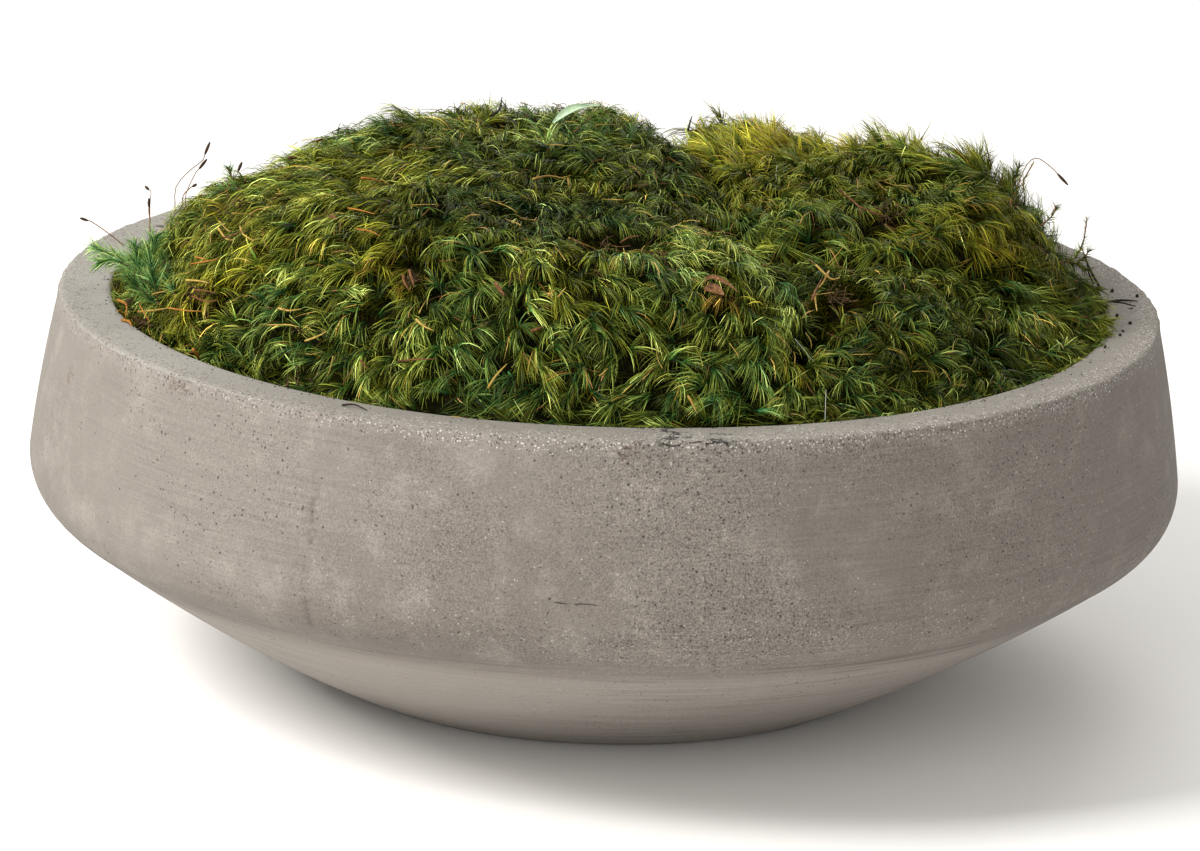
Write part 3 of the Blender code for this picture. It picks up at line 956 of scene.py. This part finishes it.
# the dark base colours are partly painted shade, deep in the tufts
base = addRamp(warm, [(0.0, (0.012, 0.078, 0.028)), (0.35, (0.016, 0.066, 0.009)),
                      (0.65, (0.038, 0.058, 0.003)), (0.88, (0.066, 0.048, 0.004)),
                      (1.0, (0.060, 0.028, 0.009))])
tip = addRamp(warm, [(0.0, (0.085, 0.210, 0.050)), (0.35, (0.215, 0.250, 0.024)),
                     (0.65, (0.320, 0.292, 0.013)), (0.88, (0.400, 0.270, 0.030)),
                     (1.0, (0.310, 0.160, 0.055))])
tipPart = fade(along, 0.0, 0.80)
# painted sheen: bright leaves turn pale towards their tips
paintedSheen = times(times(tipPart, fade(tint, 0.60, 1.0, 0.0, 0.42)), fade(hue, 0.45, 0.60, 1.0, 0.25))
mixed = mixColours(paintedSheen, mixColours(tipPart, base, tip), (0.34, 0.35, 0.16))
brightness = doMath("POWER", 2.0, timesPlus(tint, 5.0, -2.95))
feed(colour, scaleColour(mixed, times(brightness, shade)))


def makeLeafMaterial(name, shade, warmth, gloss):
    material, tree, shader = newMaterial(name, mossLook["roughness"])
    feed(shader.inputs["Base Color"], placeGroup(tree, leafColourGroup, Shade=shade, Warmth=warmth)["Color"])
    shader.inputs["Specular IOR Level"].default_value = gloss
    return material


leafMaterials = {
    "moss_clump_left": makeLeafMaterial("leafDarkGreen", 1.0, 0.0, mossLook["gloss"]),
    "moss_clump_back_right": makeLeafMaterial("leafOchreGreen", 1.0, 0.0, mossLook["gloss"]),
    "moss_clump_front_right": makeLeafMaterial("leafFineGreen", 0.9, 0.0, mossLook["gloss"]),
    # painted shade: the old leaves deep in the clump are darker, partly as shade
    "old": makeLeafMaterial("leafOldShaded", 0.72, 0.04, 0.0),
}


def nearness(places, spots):
    # how near each place is to the nearest spot: 1 at its middle, 0 at its radius and beyond
    near = np.zeros(len(places))
    for pixel, radius in spots:
        away = np.linalg.norm(places - np.array(spotUnder(pixel)[0]), axis=1) / radius
        near = np.maximum(near, np.clip(1.0 - away, 0.0, 1.0))
    return near


def growLayer(nodeName, layerName, rng):
    clump, layer, look, old = mossClumps[nodeName], mossLayers[layerName], mossLook, layerName == "old"
    size, seed = clump["size"], clump["seed"]
    places, upward = scatter(nodeName, layer["spacing"] * size, rng)
    if not old:
        clear = nearness(places, hollows) <= 0.0
        places, upward = places[clear], upward[clear]
    lie = readGuides(places, upward, clump, rng)
    withered = nearness(places, witheredSpots)
    lie["hue"] = lie["hue"] + look["witheredHue"] * withered
    lie["tint"] = lie["tint"] - look["witheredDark"] * withered
    # painted shade: the old leaves in the hollows are darker
    lie["tint"] = lie["tint"] - look["hollowShade"] * nearness(places, hollows)
    path, up, owner, strand = leafPaths(places, upward, lie, layer, size, rng)
    path = keepOffRim(path, clump["rimReach"])
    shoots = len(places)
    count = len(owner)
    spread = layer["spread"] * clump["contrast"]
    hue = lie["hue"] + layer["hue"] + 0.13 * smoothField(places, 0.030, seed + 20)
    tint = lie["tint"] + layer["tint"] + 0.10 * smoothField(places, 0.017, seed + 30)
    hue = (hue + rng.normal(0.0, 0.06, shoots))[owner] + rng.normal(0.0, 0.07, count)
    tint = (tint + rng.normal(0.0, 0.06, shoots))[owner]
    tint = tint + rng.normal(0.0, 0.6 * spread, shoots * layer["strands"])[strand]
    tint = tint + rng.normal(0.0, spread, count)
    # painted glints: a share of the leaves is brighter and a little yellower
    glint = rng.random(count) < look["glintShare"]
    dead = rng.random(count) < look["deadShare"]
    hue = np.where(dead, rng.uniform(*look["deadHue"], count), hue + np.where(glint, look["glintHue"], 0.0))
    tint = tint + np.where(glint, look["glintTint"], 0.0) + np.where(dead, look["deadTint"], 0.0)
    width = layer["width"] * rng.uniform(0.75, 1.15, count)
    material = leafMaterials["old" if old else nodeName]
    names = ["moss_leaves_" + part for part in clump["parts"]]
    edges = clump["edges"]
    if old:
        names, edges = [nodeName.replace("clump", "old_leaves")], []
    which = np.searchsorted(np.array(edges), places[owner][:, 0])
    for number, name in enumerate(names):
        mine = which == number
        addLeaves(name, material, nodeName, path[mine], up[mine], width[mine], tint[mine],
                  hue[mine], rng)
        print("  ", name, "leaves", int(mine.sum()))


for order, (nodeName, layerName) in enumerate(product(mossClumps, mossLayers)):
    growLayer(nodeName, layerName, np.random.default_rng(mossClumps[nodeName]["seed"] + 100 * order))


# small things on the moss and the rim, placed by the photo's pixels on what carries them

print("litter and spore stalks")
litter = {
    "raise": 0.0012,
    "needleRaise": 0.0044,
    "rimRaise": 0.0006,
    "threadRaise": 0.0022,
    "leafRaise": 0.0018,
    "reach": 0.025,
    "needleSides": 5,
    "needleSteps": 6,
    "bend": 0.06,
    "looseNeedles": 260,
    "looseSpacing": 0.006,
    "looseTilt": 0.12,
    "tanShare": 0.55,
    "looseLength": (0.004, 0.010),
    "looseThickness": (0.00024, 0.00042),
    "seed": 71,
}
littleLook = {"roughness": 0.6, "gloss": 0.12, "bump": 0.7, "relief": 0.0003}

# three shades of each, and the scale of its mottling
littleShades = {
    "tan": ((0.22, 0.125, 0.022), (0.38, 0.250, 0.052), (0.60, 0.450, 0.150), 90.0),
    "brown": ((0.045, 0.018, 0.007), (0.130, 0.055, 0.020), (0.27, 0.140, 0.055), 90.0),
    "orange": ((0.20, 0.062, 0.010), (0.34, 0.135, 0.022), (0.50, 0.270, 0.060), 120.0),
    "dark": ((0.008, 0.006, 0.005), (0.022, 0.015, 0.011), (0.06, 0.042, 0.030), 150.0),
    "stalk": ((0.09, 0.040, 0.018), (0.18, 0.085, 0.035), (0.28, 0.150, 0.065), 200.0),
    "capsule": ((0.014, 0.009, 0.006), (0.045, 0.024, 0.014), (0.11, 0.065, 0.038), 400.0),
    "thread": ((0.42, 0.43, 0.40), (0.55, 0.56, 0.52), (0.66, 0.67, 0.62), 60.0),
    "deadLeaf": ((0.05, 0.020, 0.009), (0.15, 0.066, 0.028), (0.40, 0.230, 0.110), 190.0),
    "paleLeaf": ((0.30, 0.48, 0.28), (0.48, 0.64, 0.42), (0.70, 0.80, 0.62), 140.0),
    "humus": ((0.016, 0.009, 0.004), (0.060, 0.034, 0.014), (0.19, 0.120, 0.052), 190.0),
}
littleMaterials = {name: makeMottled(name, *shades, **littleLook) for name, shades in littleShades.items()}

# needles and twigs on the moss or the rim, by how thick they are and the pixels of their two ends
needles = {
    "tan": {
        0.0006: [(242, 201, 255, 229), (232, 213, 280, 218), (250, 214, 271, 207), (219, 221, 231, 231),
                 (140, 295, 168, 290), (381, 179, 420, 193), (267, 325, 299, 327), (419, 313, 427, 299),
                 (599, 376, 608, 368), (547, 297, 556, 289), (558, 297, 566, 287), (692, 145, 712, 186)],
        0.0009: [(218, 228, 233, 240), (240, 226, 254, 241), (138, 312, 168, 308), (278, 308, 301, 309),
                 (186, 280, 209, 283), (305, 341, 327, 331), (416, 319, 434, 331), (488, 388, 507, 364),
                 (569, 238, 598, 250), (688, 396, 697, 414), (816, 265, 839, 278), (829, 271, 815, 291),
                 (568, 178, 571, 218), (533, 179, 566, 179), (815, 291, 817, 311)],
    },
    "brown": {
        0.0008: [(195, 290, 216, 293), (192, 296, 218, 300), (398, 361, 437, 359), (360, 360, 367, 369),
                 (222, 238, 246, 229), (620, 243, 640, 236), (858, 206, 884, 216), (840, 190, 862, 214),
                 (160, 290, 190, 309)],
        0.0012: [(409, 270, 414, 286), (403, 275, 410, 291), (496, 283, 505, 295), (531, 331, 542, 327),
                 (205, 187, 221, 182), (288, 158, 299, 155), (812, 300, 822, 278), (316, 141, 325, 139)],
    },
    "orange": {
        0.0007: [(191, 264, 221, 259), (168, 308, 202, 311), (147, 268, 161, 272), (195, 257, 207, 260),
                 (356, 229, 380, 236), (741, 205, 756, 213), (348, 208, 375, 214), (140, 304, 150, 322)],
        0.0012: [(193, 349, 198, 361), (361, 178, 381, 182), (117, 300, 126, 316), (122, 320, 132, 326)],
    },
    "dark": {
        0.0008: [(342, 405, 367, 410), (115, 272, 116, 290), (1094, 284, 1086, 256), (1112, 301, 1136, 306)],
        0.0011: [(491, 116, 502, 97), (688, 130, 692, 116), (1103, 302, 1138, 301), (1106, 305, 1133, 308),
                 (1100, 288, 1082, 248)],
    },
}

# spore stalks: how thick, the pixels that each passes from its foot, and its capsule's tip
stalks = [
    (0.00038, [(124, 246), (108, 233), (92, 222)], (80, 218)),
    (0.00050, [(150, 240), (150, 222), (149, 212)], (149, 198)),
    (0.00030, [(150, 236), (150, 205), (151, 192)], (145, 186)),
    (0.00034, [(175, 205), (176, 187), (188, 172), (202, 161)], (210, 142)),
    (0.00032, [(186, 194), (195, 174)], (207, 159)),
    (0.00040, [(183, 196), (190, 188)], (197, 184)),
    (0.00026, [(226, 190), (236, 176)], (242, 162)),
    (0.00034, [(1016, 190), (1026, 166), (1037, 158), (1052, 168)], (1068, 185)),
]
stalkShape = {"sunk": 0.002, "neck": 0.35, "steps": 14, "sides": 6}
capsuleShape = {"width": 0.0011, "rings": 8, "sides": 8}

# pale threads of spider silk and broad leaves: how thick or wide, and the pixels that each passes
threads = [
    (0.00016, [(777, 165), (773, 200), (770, 260)]),
    (0.00018, [(788, 283), (797, 318)]),
    (0.00018, [(795, 339), (816, 364), (837, 387)]),
    (0.00016, [(826, 390), (825, 420)]),
]
broadLeaves = {
    "dead": [
        (0.0015, [(701, 284), (711, 277), (725, 282), (738, 292)]),
        (0.0032, [(704, 289), (714, 289), (724, 295)]),
        (0.0013, [(326, 215), (338, 219)]),
        (0.0014, [(494, 281), (504, 296)]),
    ],
    "pale": [(0.0034, [(553, 123), (566, 113), (580, 107), (604, 105)])],
}
pathSteps = 12

# leafy shoots that stand out of the clumps: leaves, their length, hue and tint, and the stem's pixels
shoots = [
    (300, 0.0100, 0.05, 0.80, [(166, 268), (128, 260), (94, 248)]),
    (200, 0.0090, 0.05, 0.74, [(150, 286), (122, 262), (98, 262)]),
    (330, 0.0105, 0.06, 0.64, [(158, 300), (150, 262), (156, 238)]),
    (300, 0.0095, 0.08, 0.68, [(150, 300), (138, 268), (136, 246)]),
    (240, 0.0085, 0.06, 0.58, [(162, 306), (140, 290), (128, 276)]),
    (200, 0.0085, 0.12, 0.58, [(176, 300), (168, 274), (162, 256)]),
    (110, 0.0056, 0.12, 0.60, [(240, 192), (232, 178), (229, 168)]),
    (110, 0.0070, 0.22, 0.56, [(574, 132), (596, 114), (616, 112)]),
    (90, 0.0070, 0.30, 0.86, [(332, 291), (350, 289), (362, 292)]),
    (90, 0.0070, 0.34, 0.34, [(1066, 258), (1086, 270)]),
    (120, 0.0085, 0.34, 0.42, [(1074, 280), (1098, 290)]),
    (120, 0.0085, 0.38, 0.46, [(1078, 298), (1106, 306)]),
    (120, 0.0085, 0.46, 0.54, [(1082, 316), (1110, 322)]),
    (120, 0.0085, 0.42, 0.50, [(1076, 332), (1104, 338)]),
    (100, 0.0080, 0.34, 0.46, [(1060, 346), (1084, 352)]),
    (110, 0.0062, 0.30, 0.34, [(1010, 205), (1014, 182), (1020, 165)]),
    (24, 0.0036, 0.60, 0.55, [(1024, 180), (1034, 162)]),
    (70, 0.0040, 0.26, 0.56, [(1068, 266), (1082, 246), (1087, 218)]),
    (70, 0.0048, 0.36, 0.28, [(1058, 262), (1078, 262), (1090, 250)]),
    (60, 0.0048, 0.34, 0.30, [(1040, 226), (1052, 216), (1056, 206)]),
]
shootStem = {"thick": 0.0005, "steps": 10, "segments": 4, "leafWidth": 0.00030}

bits = {
    "chipShare": 0.55,
    "chipSize": (0.0003, 0.0009),
    "chipRaise": (-0.001, 0.001),
    "twigHalf": (0.0015, 0.0035),
    "twigThick": (0.0003, 0.0006),
    "twigRaise": (0.0, 0.0014),
    "crumbSize": (0.0005, 0.0010),
    "dirtSize": (0.00018, 0.00048),
    "dirtGrains": 260,
    "dirtReach": 0.0024,
    "dirtInset": 0.0016,
}

# crumbs on the rim, and patches of brown bits: their pixel, how far they spread in pixels, and how many
crumbs = [(1137, 297), (1117, 317), (1123, 332), (1120, 336), (1105, 348), (1130, 324), (1112, 292),
          (1098, 300)]
bitPatches = [
    (142, 325, 9, 34), (127, 303, 6, 16), (412, 280, 9, 26), (200, 292, 14, 34), (236, 205, 15, 34),
    (885, 213, 17, 44), (838, 296, 13, 26), (604, 246, 6, 8), (300, 330, 3, 8), (660, 262, 12, 16),
    (300, 385, 16, 18), (520, 275, 10, 16),
]


def smoothPath(points, count):
    # a curve through the points
    if len(points) == 2:
        points = [points[0], (points[0] + points[1]) / 2, points[1]]
    points = [2 * points[0] - points[1]] + list(points) + [2 * points[-1] - points[-2]]
    curve = []
    for step in range(count + 1):
        place = step / count * (len(points) - 3)
        index = min(int(place), len(points) - 4)
        part = place - index
        before, start, end, after = points[index:index + 4]
        curve.append(0.5 * (2 * start + (end - before) * part
                            + (2 * before - 5 * start + 4 * end - after) * part ** 2
                            + (3 * start - before - 3 * end + after) * part ** 3))
    return curve


def pixelPath(pixels, lift):
    # points over the pixels: on the piece that carries the first one, or as far off as the last one on it
    last, normal, carrier = footUnder(pixels[0])
    points = [] if spotUnder(pixels[0])[0] else [last.copy()]
    for pixel in pixels:
        spot, normal, name = spotUnder(pixel)
        if name != carrier or abs((spot - last).dot(viewForward)) > litter["reach"]:
            points.append(beside(pixel, last))
        else:
            way = wayThrough(pixel)
            above = min(lift, litter["rimRaise"]) if name == "concrete_bowl" else lift
            points.append(spot - way * (above / max(-way.dot(normal), 0.35)))
            last = spot
    return points


def pathWays(path):
    # the way along the path at each of its points
    pairs = zip(path[:1] + path[:-1], path[1:] + path[-1:])
    return [(after - before).normalized() for before, after in pairs]


def bridge(heap, low, high, count):
    # faces between two rows of corners
    for corner in range(count):
        after = (corner + 1) % len(low)
        heap.faces.new((low[corner], low[after], high[after], high[corner]))


def tube(heap, path, radii, sides):
    # a round stalk along a path, closed at both ends
    ways = pathWays(path)
    side = ways[0].orthogonal().normalized()
    turns = [2 * math.pi * corner / sides for corner in range(sides)]
    rings = []
    for point, way, radius in zip(path, ways, radii):
        side = (side - way * side.dot(way)).normalized()
        over = way.cross(side)
        corners = [(side * (radius * math.cos(turn)), over * (radius * math.sin(turn))) for turn in turns]
        rings.append([heap.verts.new(point + sideways + upward) for sideways, upward in corners])
    for low, high in zip(rings, rings[1:]):
        bridge(heap, low, high, sides)
    heap.faces.new(rings[0][::-1])
    heap.faces.new(rings[-1])


def evenTube(heap, path, thick, sides=litter["needleSides"]):
    tube(heap, path, [thick / 2] * len(path), sides)


def anyWay(rng):
    return Vector(rng.normal(0.0, 1.0, 3))


def ribbon(heap, path, width, upward, cup):
    # a broad leaf along a path, pointed at both ends and curled up along its edges
    rows = []
    for index, (point, way) in enumerate(zip(path, pathWays(path))):
        across = way.cross(upward).normalized()
        share = index / (len(path) - 1)
        half = width / 2 * (0.03 + 0.97 * math.sin(math.pi * (0.06 + 0.92 * share)) ** 0.9)
        rows.append([heap.verts.new(point + across * (half * place) + upward * (cup * half * place * place))
                     for place in (-1.0, -0.5, 0.0, 0.5, 1.0)])
    for low, high in zip(rows, rows[1:]):
        bridge(heap, low, high, 4)


def chip(heap, point, size, rng, detail):
    # an irregular crumb
    made = bmesh.ops.create_icosphere(heap, subdivisions=detail, radius=1.0)
    shape = Vector(rng.uniform(0.45, 1.0, 3)) * size
    turn = Matrix.Rotation(rng.uniform(0.0, math.pi), 3, anyWay(rng).normalized())
    seed = rng.uniform(0.0, 50.0)
    for vertex in made["verts"]:
        rough = 1.0 + 0.45 * noise.noise(vertex.co * 1.6 + Vector((seed, 0.0, 0.0)))
        vertex.co = point + turn @ Vector([value * part * rough for value, part in zip(vertex.co, shape)])


def finishHeap(heap, name, look, smooth=True):
    mesh = bpy.data.meshes.new(name)
    heap.to_mesh(mesh)
    heap.free()
    addPiece(name, mesh, littleMaterials[look], smooth=smooth)


def layNeedle(heap, start, end, thick, rng):
    bow = anyWay(rng) * ((end - start).length * litter["bend"])
    steps = litter["needleSteps"]
    path = smoothPath([start, (start + end) / 2 + bow, end], steps)
    radii = [thick * 0.45 * (1.0 - 0.65 * (index / steps) ** 2) for index in range(steps + 1)]
    tube(heap, path, radii, litter["needleSides"])


def makeNeedles(rng):
    loose = {"tan": [], "brown": []}
    spots = []
    for nodeName in mossClumps:
        spots += zip(*scatter(nodeName, litter["looseSpacing"], rng))
    for index in rng.choice(len(spots), litter["looseNeedles"], replace=False):
        place, upward = Vector(spots[index][0]), Vector(spots[index][1])
        way = anyWay(rng)
        way = (way - upward * way.dot(upward)).normalized() + upward * rng.normal(0.0, litter["looseTilt"])
        half = way * rng.uniform(*litter["looseLength"]) / 2
        centre = place + upward * litter["raise"]
        kind = "tan" if rng.random() < litter["tanShare"] else "brown"
        loose[kind].append((centre - half, centre + half, rng.uniform(*litter["looseThickness"])))
    for kind, sizes in needles.items():
        heap = bmesh.new()
        for thick, rows in sizes.items():
            for row in rows:
                path = pixelPath((row[:2], row[2:]), litter["needleRaise"])
                layNeedle(heap, path[0], path[-1], thick, rng)
        for start, end, thick in loose.get(kind, []):
            layNeedle(heap, start, end, thick, rng)
        finishHeap(heap, "needles_" + kind, kind)


def makeStalks():
    heap = bmesh.new()
    heads = bmesh.new()
    rings = capsuleShape["rings"]
    swell = [math.sin(math.pi * (0.1 + 0.85 * index / rings)) ** 0.8 for index in range(rings + 1)]
    swell = [capsuleShape["width"] / 2 * (0.25 + 0.75 * part) for part in swell]
    for thick, pixels, capsule in stalks:
        points = [footUnder(pixels[0])[0] - viewUp * stalkShape["sunk"]] + pixelPath(pixels, 0.0)
        tip = beside(capsule, points[-1])
        path = smoothPath(points + [points[-1].lerp(tip, stalkShape["neck"])], stalkShape["steps"])
        evenTube(heap, path, thick, stalkShape["sides"])
        line = [path[-1].lerp(tip, index / rings) for index in range(rings + 1)]
        tube(heads, line, swell, capsuleShape["sides"])
    finishHeap(heap, "spore_stalks", "stalk")
    finishHeap(heads, "spore_capsules", "capsule")


def shootLeaves(line, count, length, rng):
    # leaves all round a stem, longest low down, that turn up along it
    place = rng.uniform(0.10, 1.0, count)
    low = np.minimum((place * (len(line) - 1)).astype(int), len(line) - 2)
    part = (place * (len(line) - 1) - low)[:, None]
    point = line[low] * (1.0 - part) + line[low + 1] * part
    along = unit(line[low + 1] - line[low])
    around = unit(np.cross(along, rng.normal(0.0, 1.0, (count, 3))))
    firstWay = unit(along + around * rng.uniform(0.5, 1.4, count)[:, None])
    lastWay = unit(along * 0.7 + around * rng.uniform(0.1, 1.1, count)[:, None] - np.array((0.0, 0.0, 0.35)))
    length = (length * rng.uniform(0.6, 1.1, count) * (1.0 - 0.3 * place))[:, None]
    return bendPath(point, firstWay, lastWay, length, shootStem["segments"]), around


def makeShoots(rng):
    heap = bmesh.new()
    parts = []
    for count, length, hue, tint, pixels in shoots:
        line = smoothPath(pixelPath(pixels, litter["raise"]), shootStem["steps"])
        evenTube(heap, line, shootStem["thick"])
        path, around = shootLeaves(np.array(line), count, length, rng)
        parts.append((path, around, hue + rng.normal(0.0, 0.07, count), tint + rng.normal(0.0, 0.14, count)))
    finishHeap(heap, "shoot_stems", "stalk")
    path, around, hue, tint = [np.concatenate(values) for values in zip(*parts)]
    width = shootStem["leafWidth"] * rng.uniform(0.75, 1.15, len(path))
    addLeaves("shoot_leaves", leafMaterials["moss_clump_left"], None, path, around, width,
              tint, hue, rng)


def makeThreadsAndLeaves():
    heap = bmesh.new()
    for thick, pixels in threads:
        path = smoothPath(pixelPath(pixels, litter["threadRaise"]), pathSteps)
        evenTube(heap, path, thick)
    finishHeap(heap, "silk_threads", "thread")
    for kind, rows in broadLeaves.items():
        heap = bmesh.new()
        for width, pixels in rows:
            path = smoothPath(pixelPath(pixels, litter["leafRaise"]), pathSteps)
            upward = footUnder(pixels[0])[1] - viewForward * 0.8
            ribbon(heap, path, width, upward.normalized(), 0.5)
        finishHeap(heap, kind + "_leaves", kind + "Leaf")


def makeBits(rng):
    heap = bmesh.new()
    for x, y, spread, count in bitPatches:
        for _ in range(count):
            across, down = rng.normal(0.0, spread / 2, 2)
            spot, normal, name = spotUnder((x + across, y + down * 0.7))
            if spot is None:
                continue
            if rng.random() < bits["chipShare"]:
                middle = spot + normal * rng.uniform(*bits["chipRaise"])
                chip(heap, middle, rng.uniform(*bits["chipSize"]), rng, 1)
            else:
                way = anyWay(rng).normalized() * rng.uniform(*bits["twigHalf"])
                middle = spot + normal * rng.uniform(*bits["twigRaise"])
                layNeedle(heap, middle - way, middle + way, rng.uniform(*bits["twigThick"]), rng)
    finishHeap(heap, "humus_bits", "humus", smooth=False)
    heap = bmesh.new()
    for pixel in crumbs:
        spot, normal, name = spotUnder(pixel)
        size = rng.uniform(*bits["crumbSize"])
        chip(heap, spot + normal * size * 0.5, size, rng, 2)
    for _ in range(bits["dirtGrains"]):
        turn = rng.uniform(0.0, 2 * math.pi)
        away = bowl["rimRadius"] - bowl["wall"] + bits["dirtInset"] + abs(rng.normal(0.0, bits["dirtReach"]))
        above = Vector((away * math.sin(turn), -away * math.cos(turn), bowl["height"] + 0.01))
        spot = surfaceTrees["concrete_bowl"].ray_cast(above, Vector((0.0, 0.0, -1.0)))[0]
        chip(heap, spot, rng.uniform(*bits["dirtSize"]), rng, 1)
    finishHeap(heap, "rim_crumbs", "dark")


littleRandom = np.random.default_rng(litter["seed"])
makeNeedles(littleRandom)
makeStalks()
makeShoots(littleRandom)
makeThreadsAndLeaves()
makeBits(littleRandom)


# the mat of old shoots under the leaves, painted near black as the shade deep in the moss

print("moss mat")
mat = {"depth": 0.0065, "unevenness": 0.0022, "noiseScale": 110.0}
matShadeLook = {
    "dark": (0.003, 0.004, 0.0015),
    "middle": (0.008, 0.009, 0.003),
    "pale": (0.030, 0.022, 0.010),
    "scale": 90.0,
    "roughness": 0.9,
    "gloss": 0.0,
    "bump": 1.0,
    "relief": 0.002,
}
matMaterial = makeMottled("oldShootsShaded", **matShadeLook)
for nodeName, clump in mossClumps.items():
    points, normals, faces = clumpSurfaces[nodeName]
    upper = np.clip(normals[:, 2] * 3.0, 0.0, 1.0)
    uneven = np.array([noise.noise(Vector(point) * mat["noiseScale"]) for point in points])
    uneven = uneven * mat["unevenness"]
    points = points - normals * ((mat["depth"] + uneven) * upper)[:, None]
    name = nodeName.replace("clump", "mat")
    addPiece(name, newMesh(name, points.tolist(), faces.tolist()), matMaterial, nodeName)
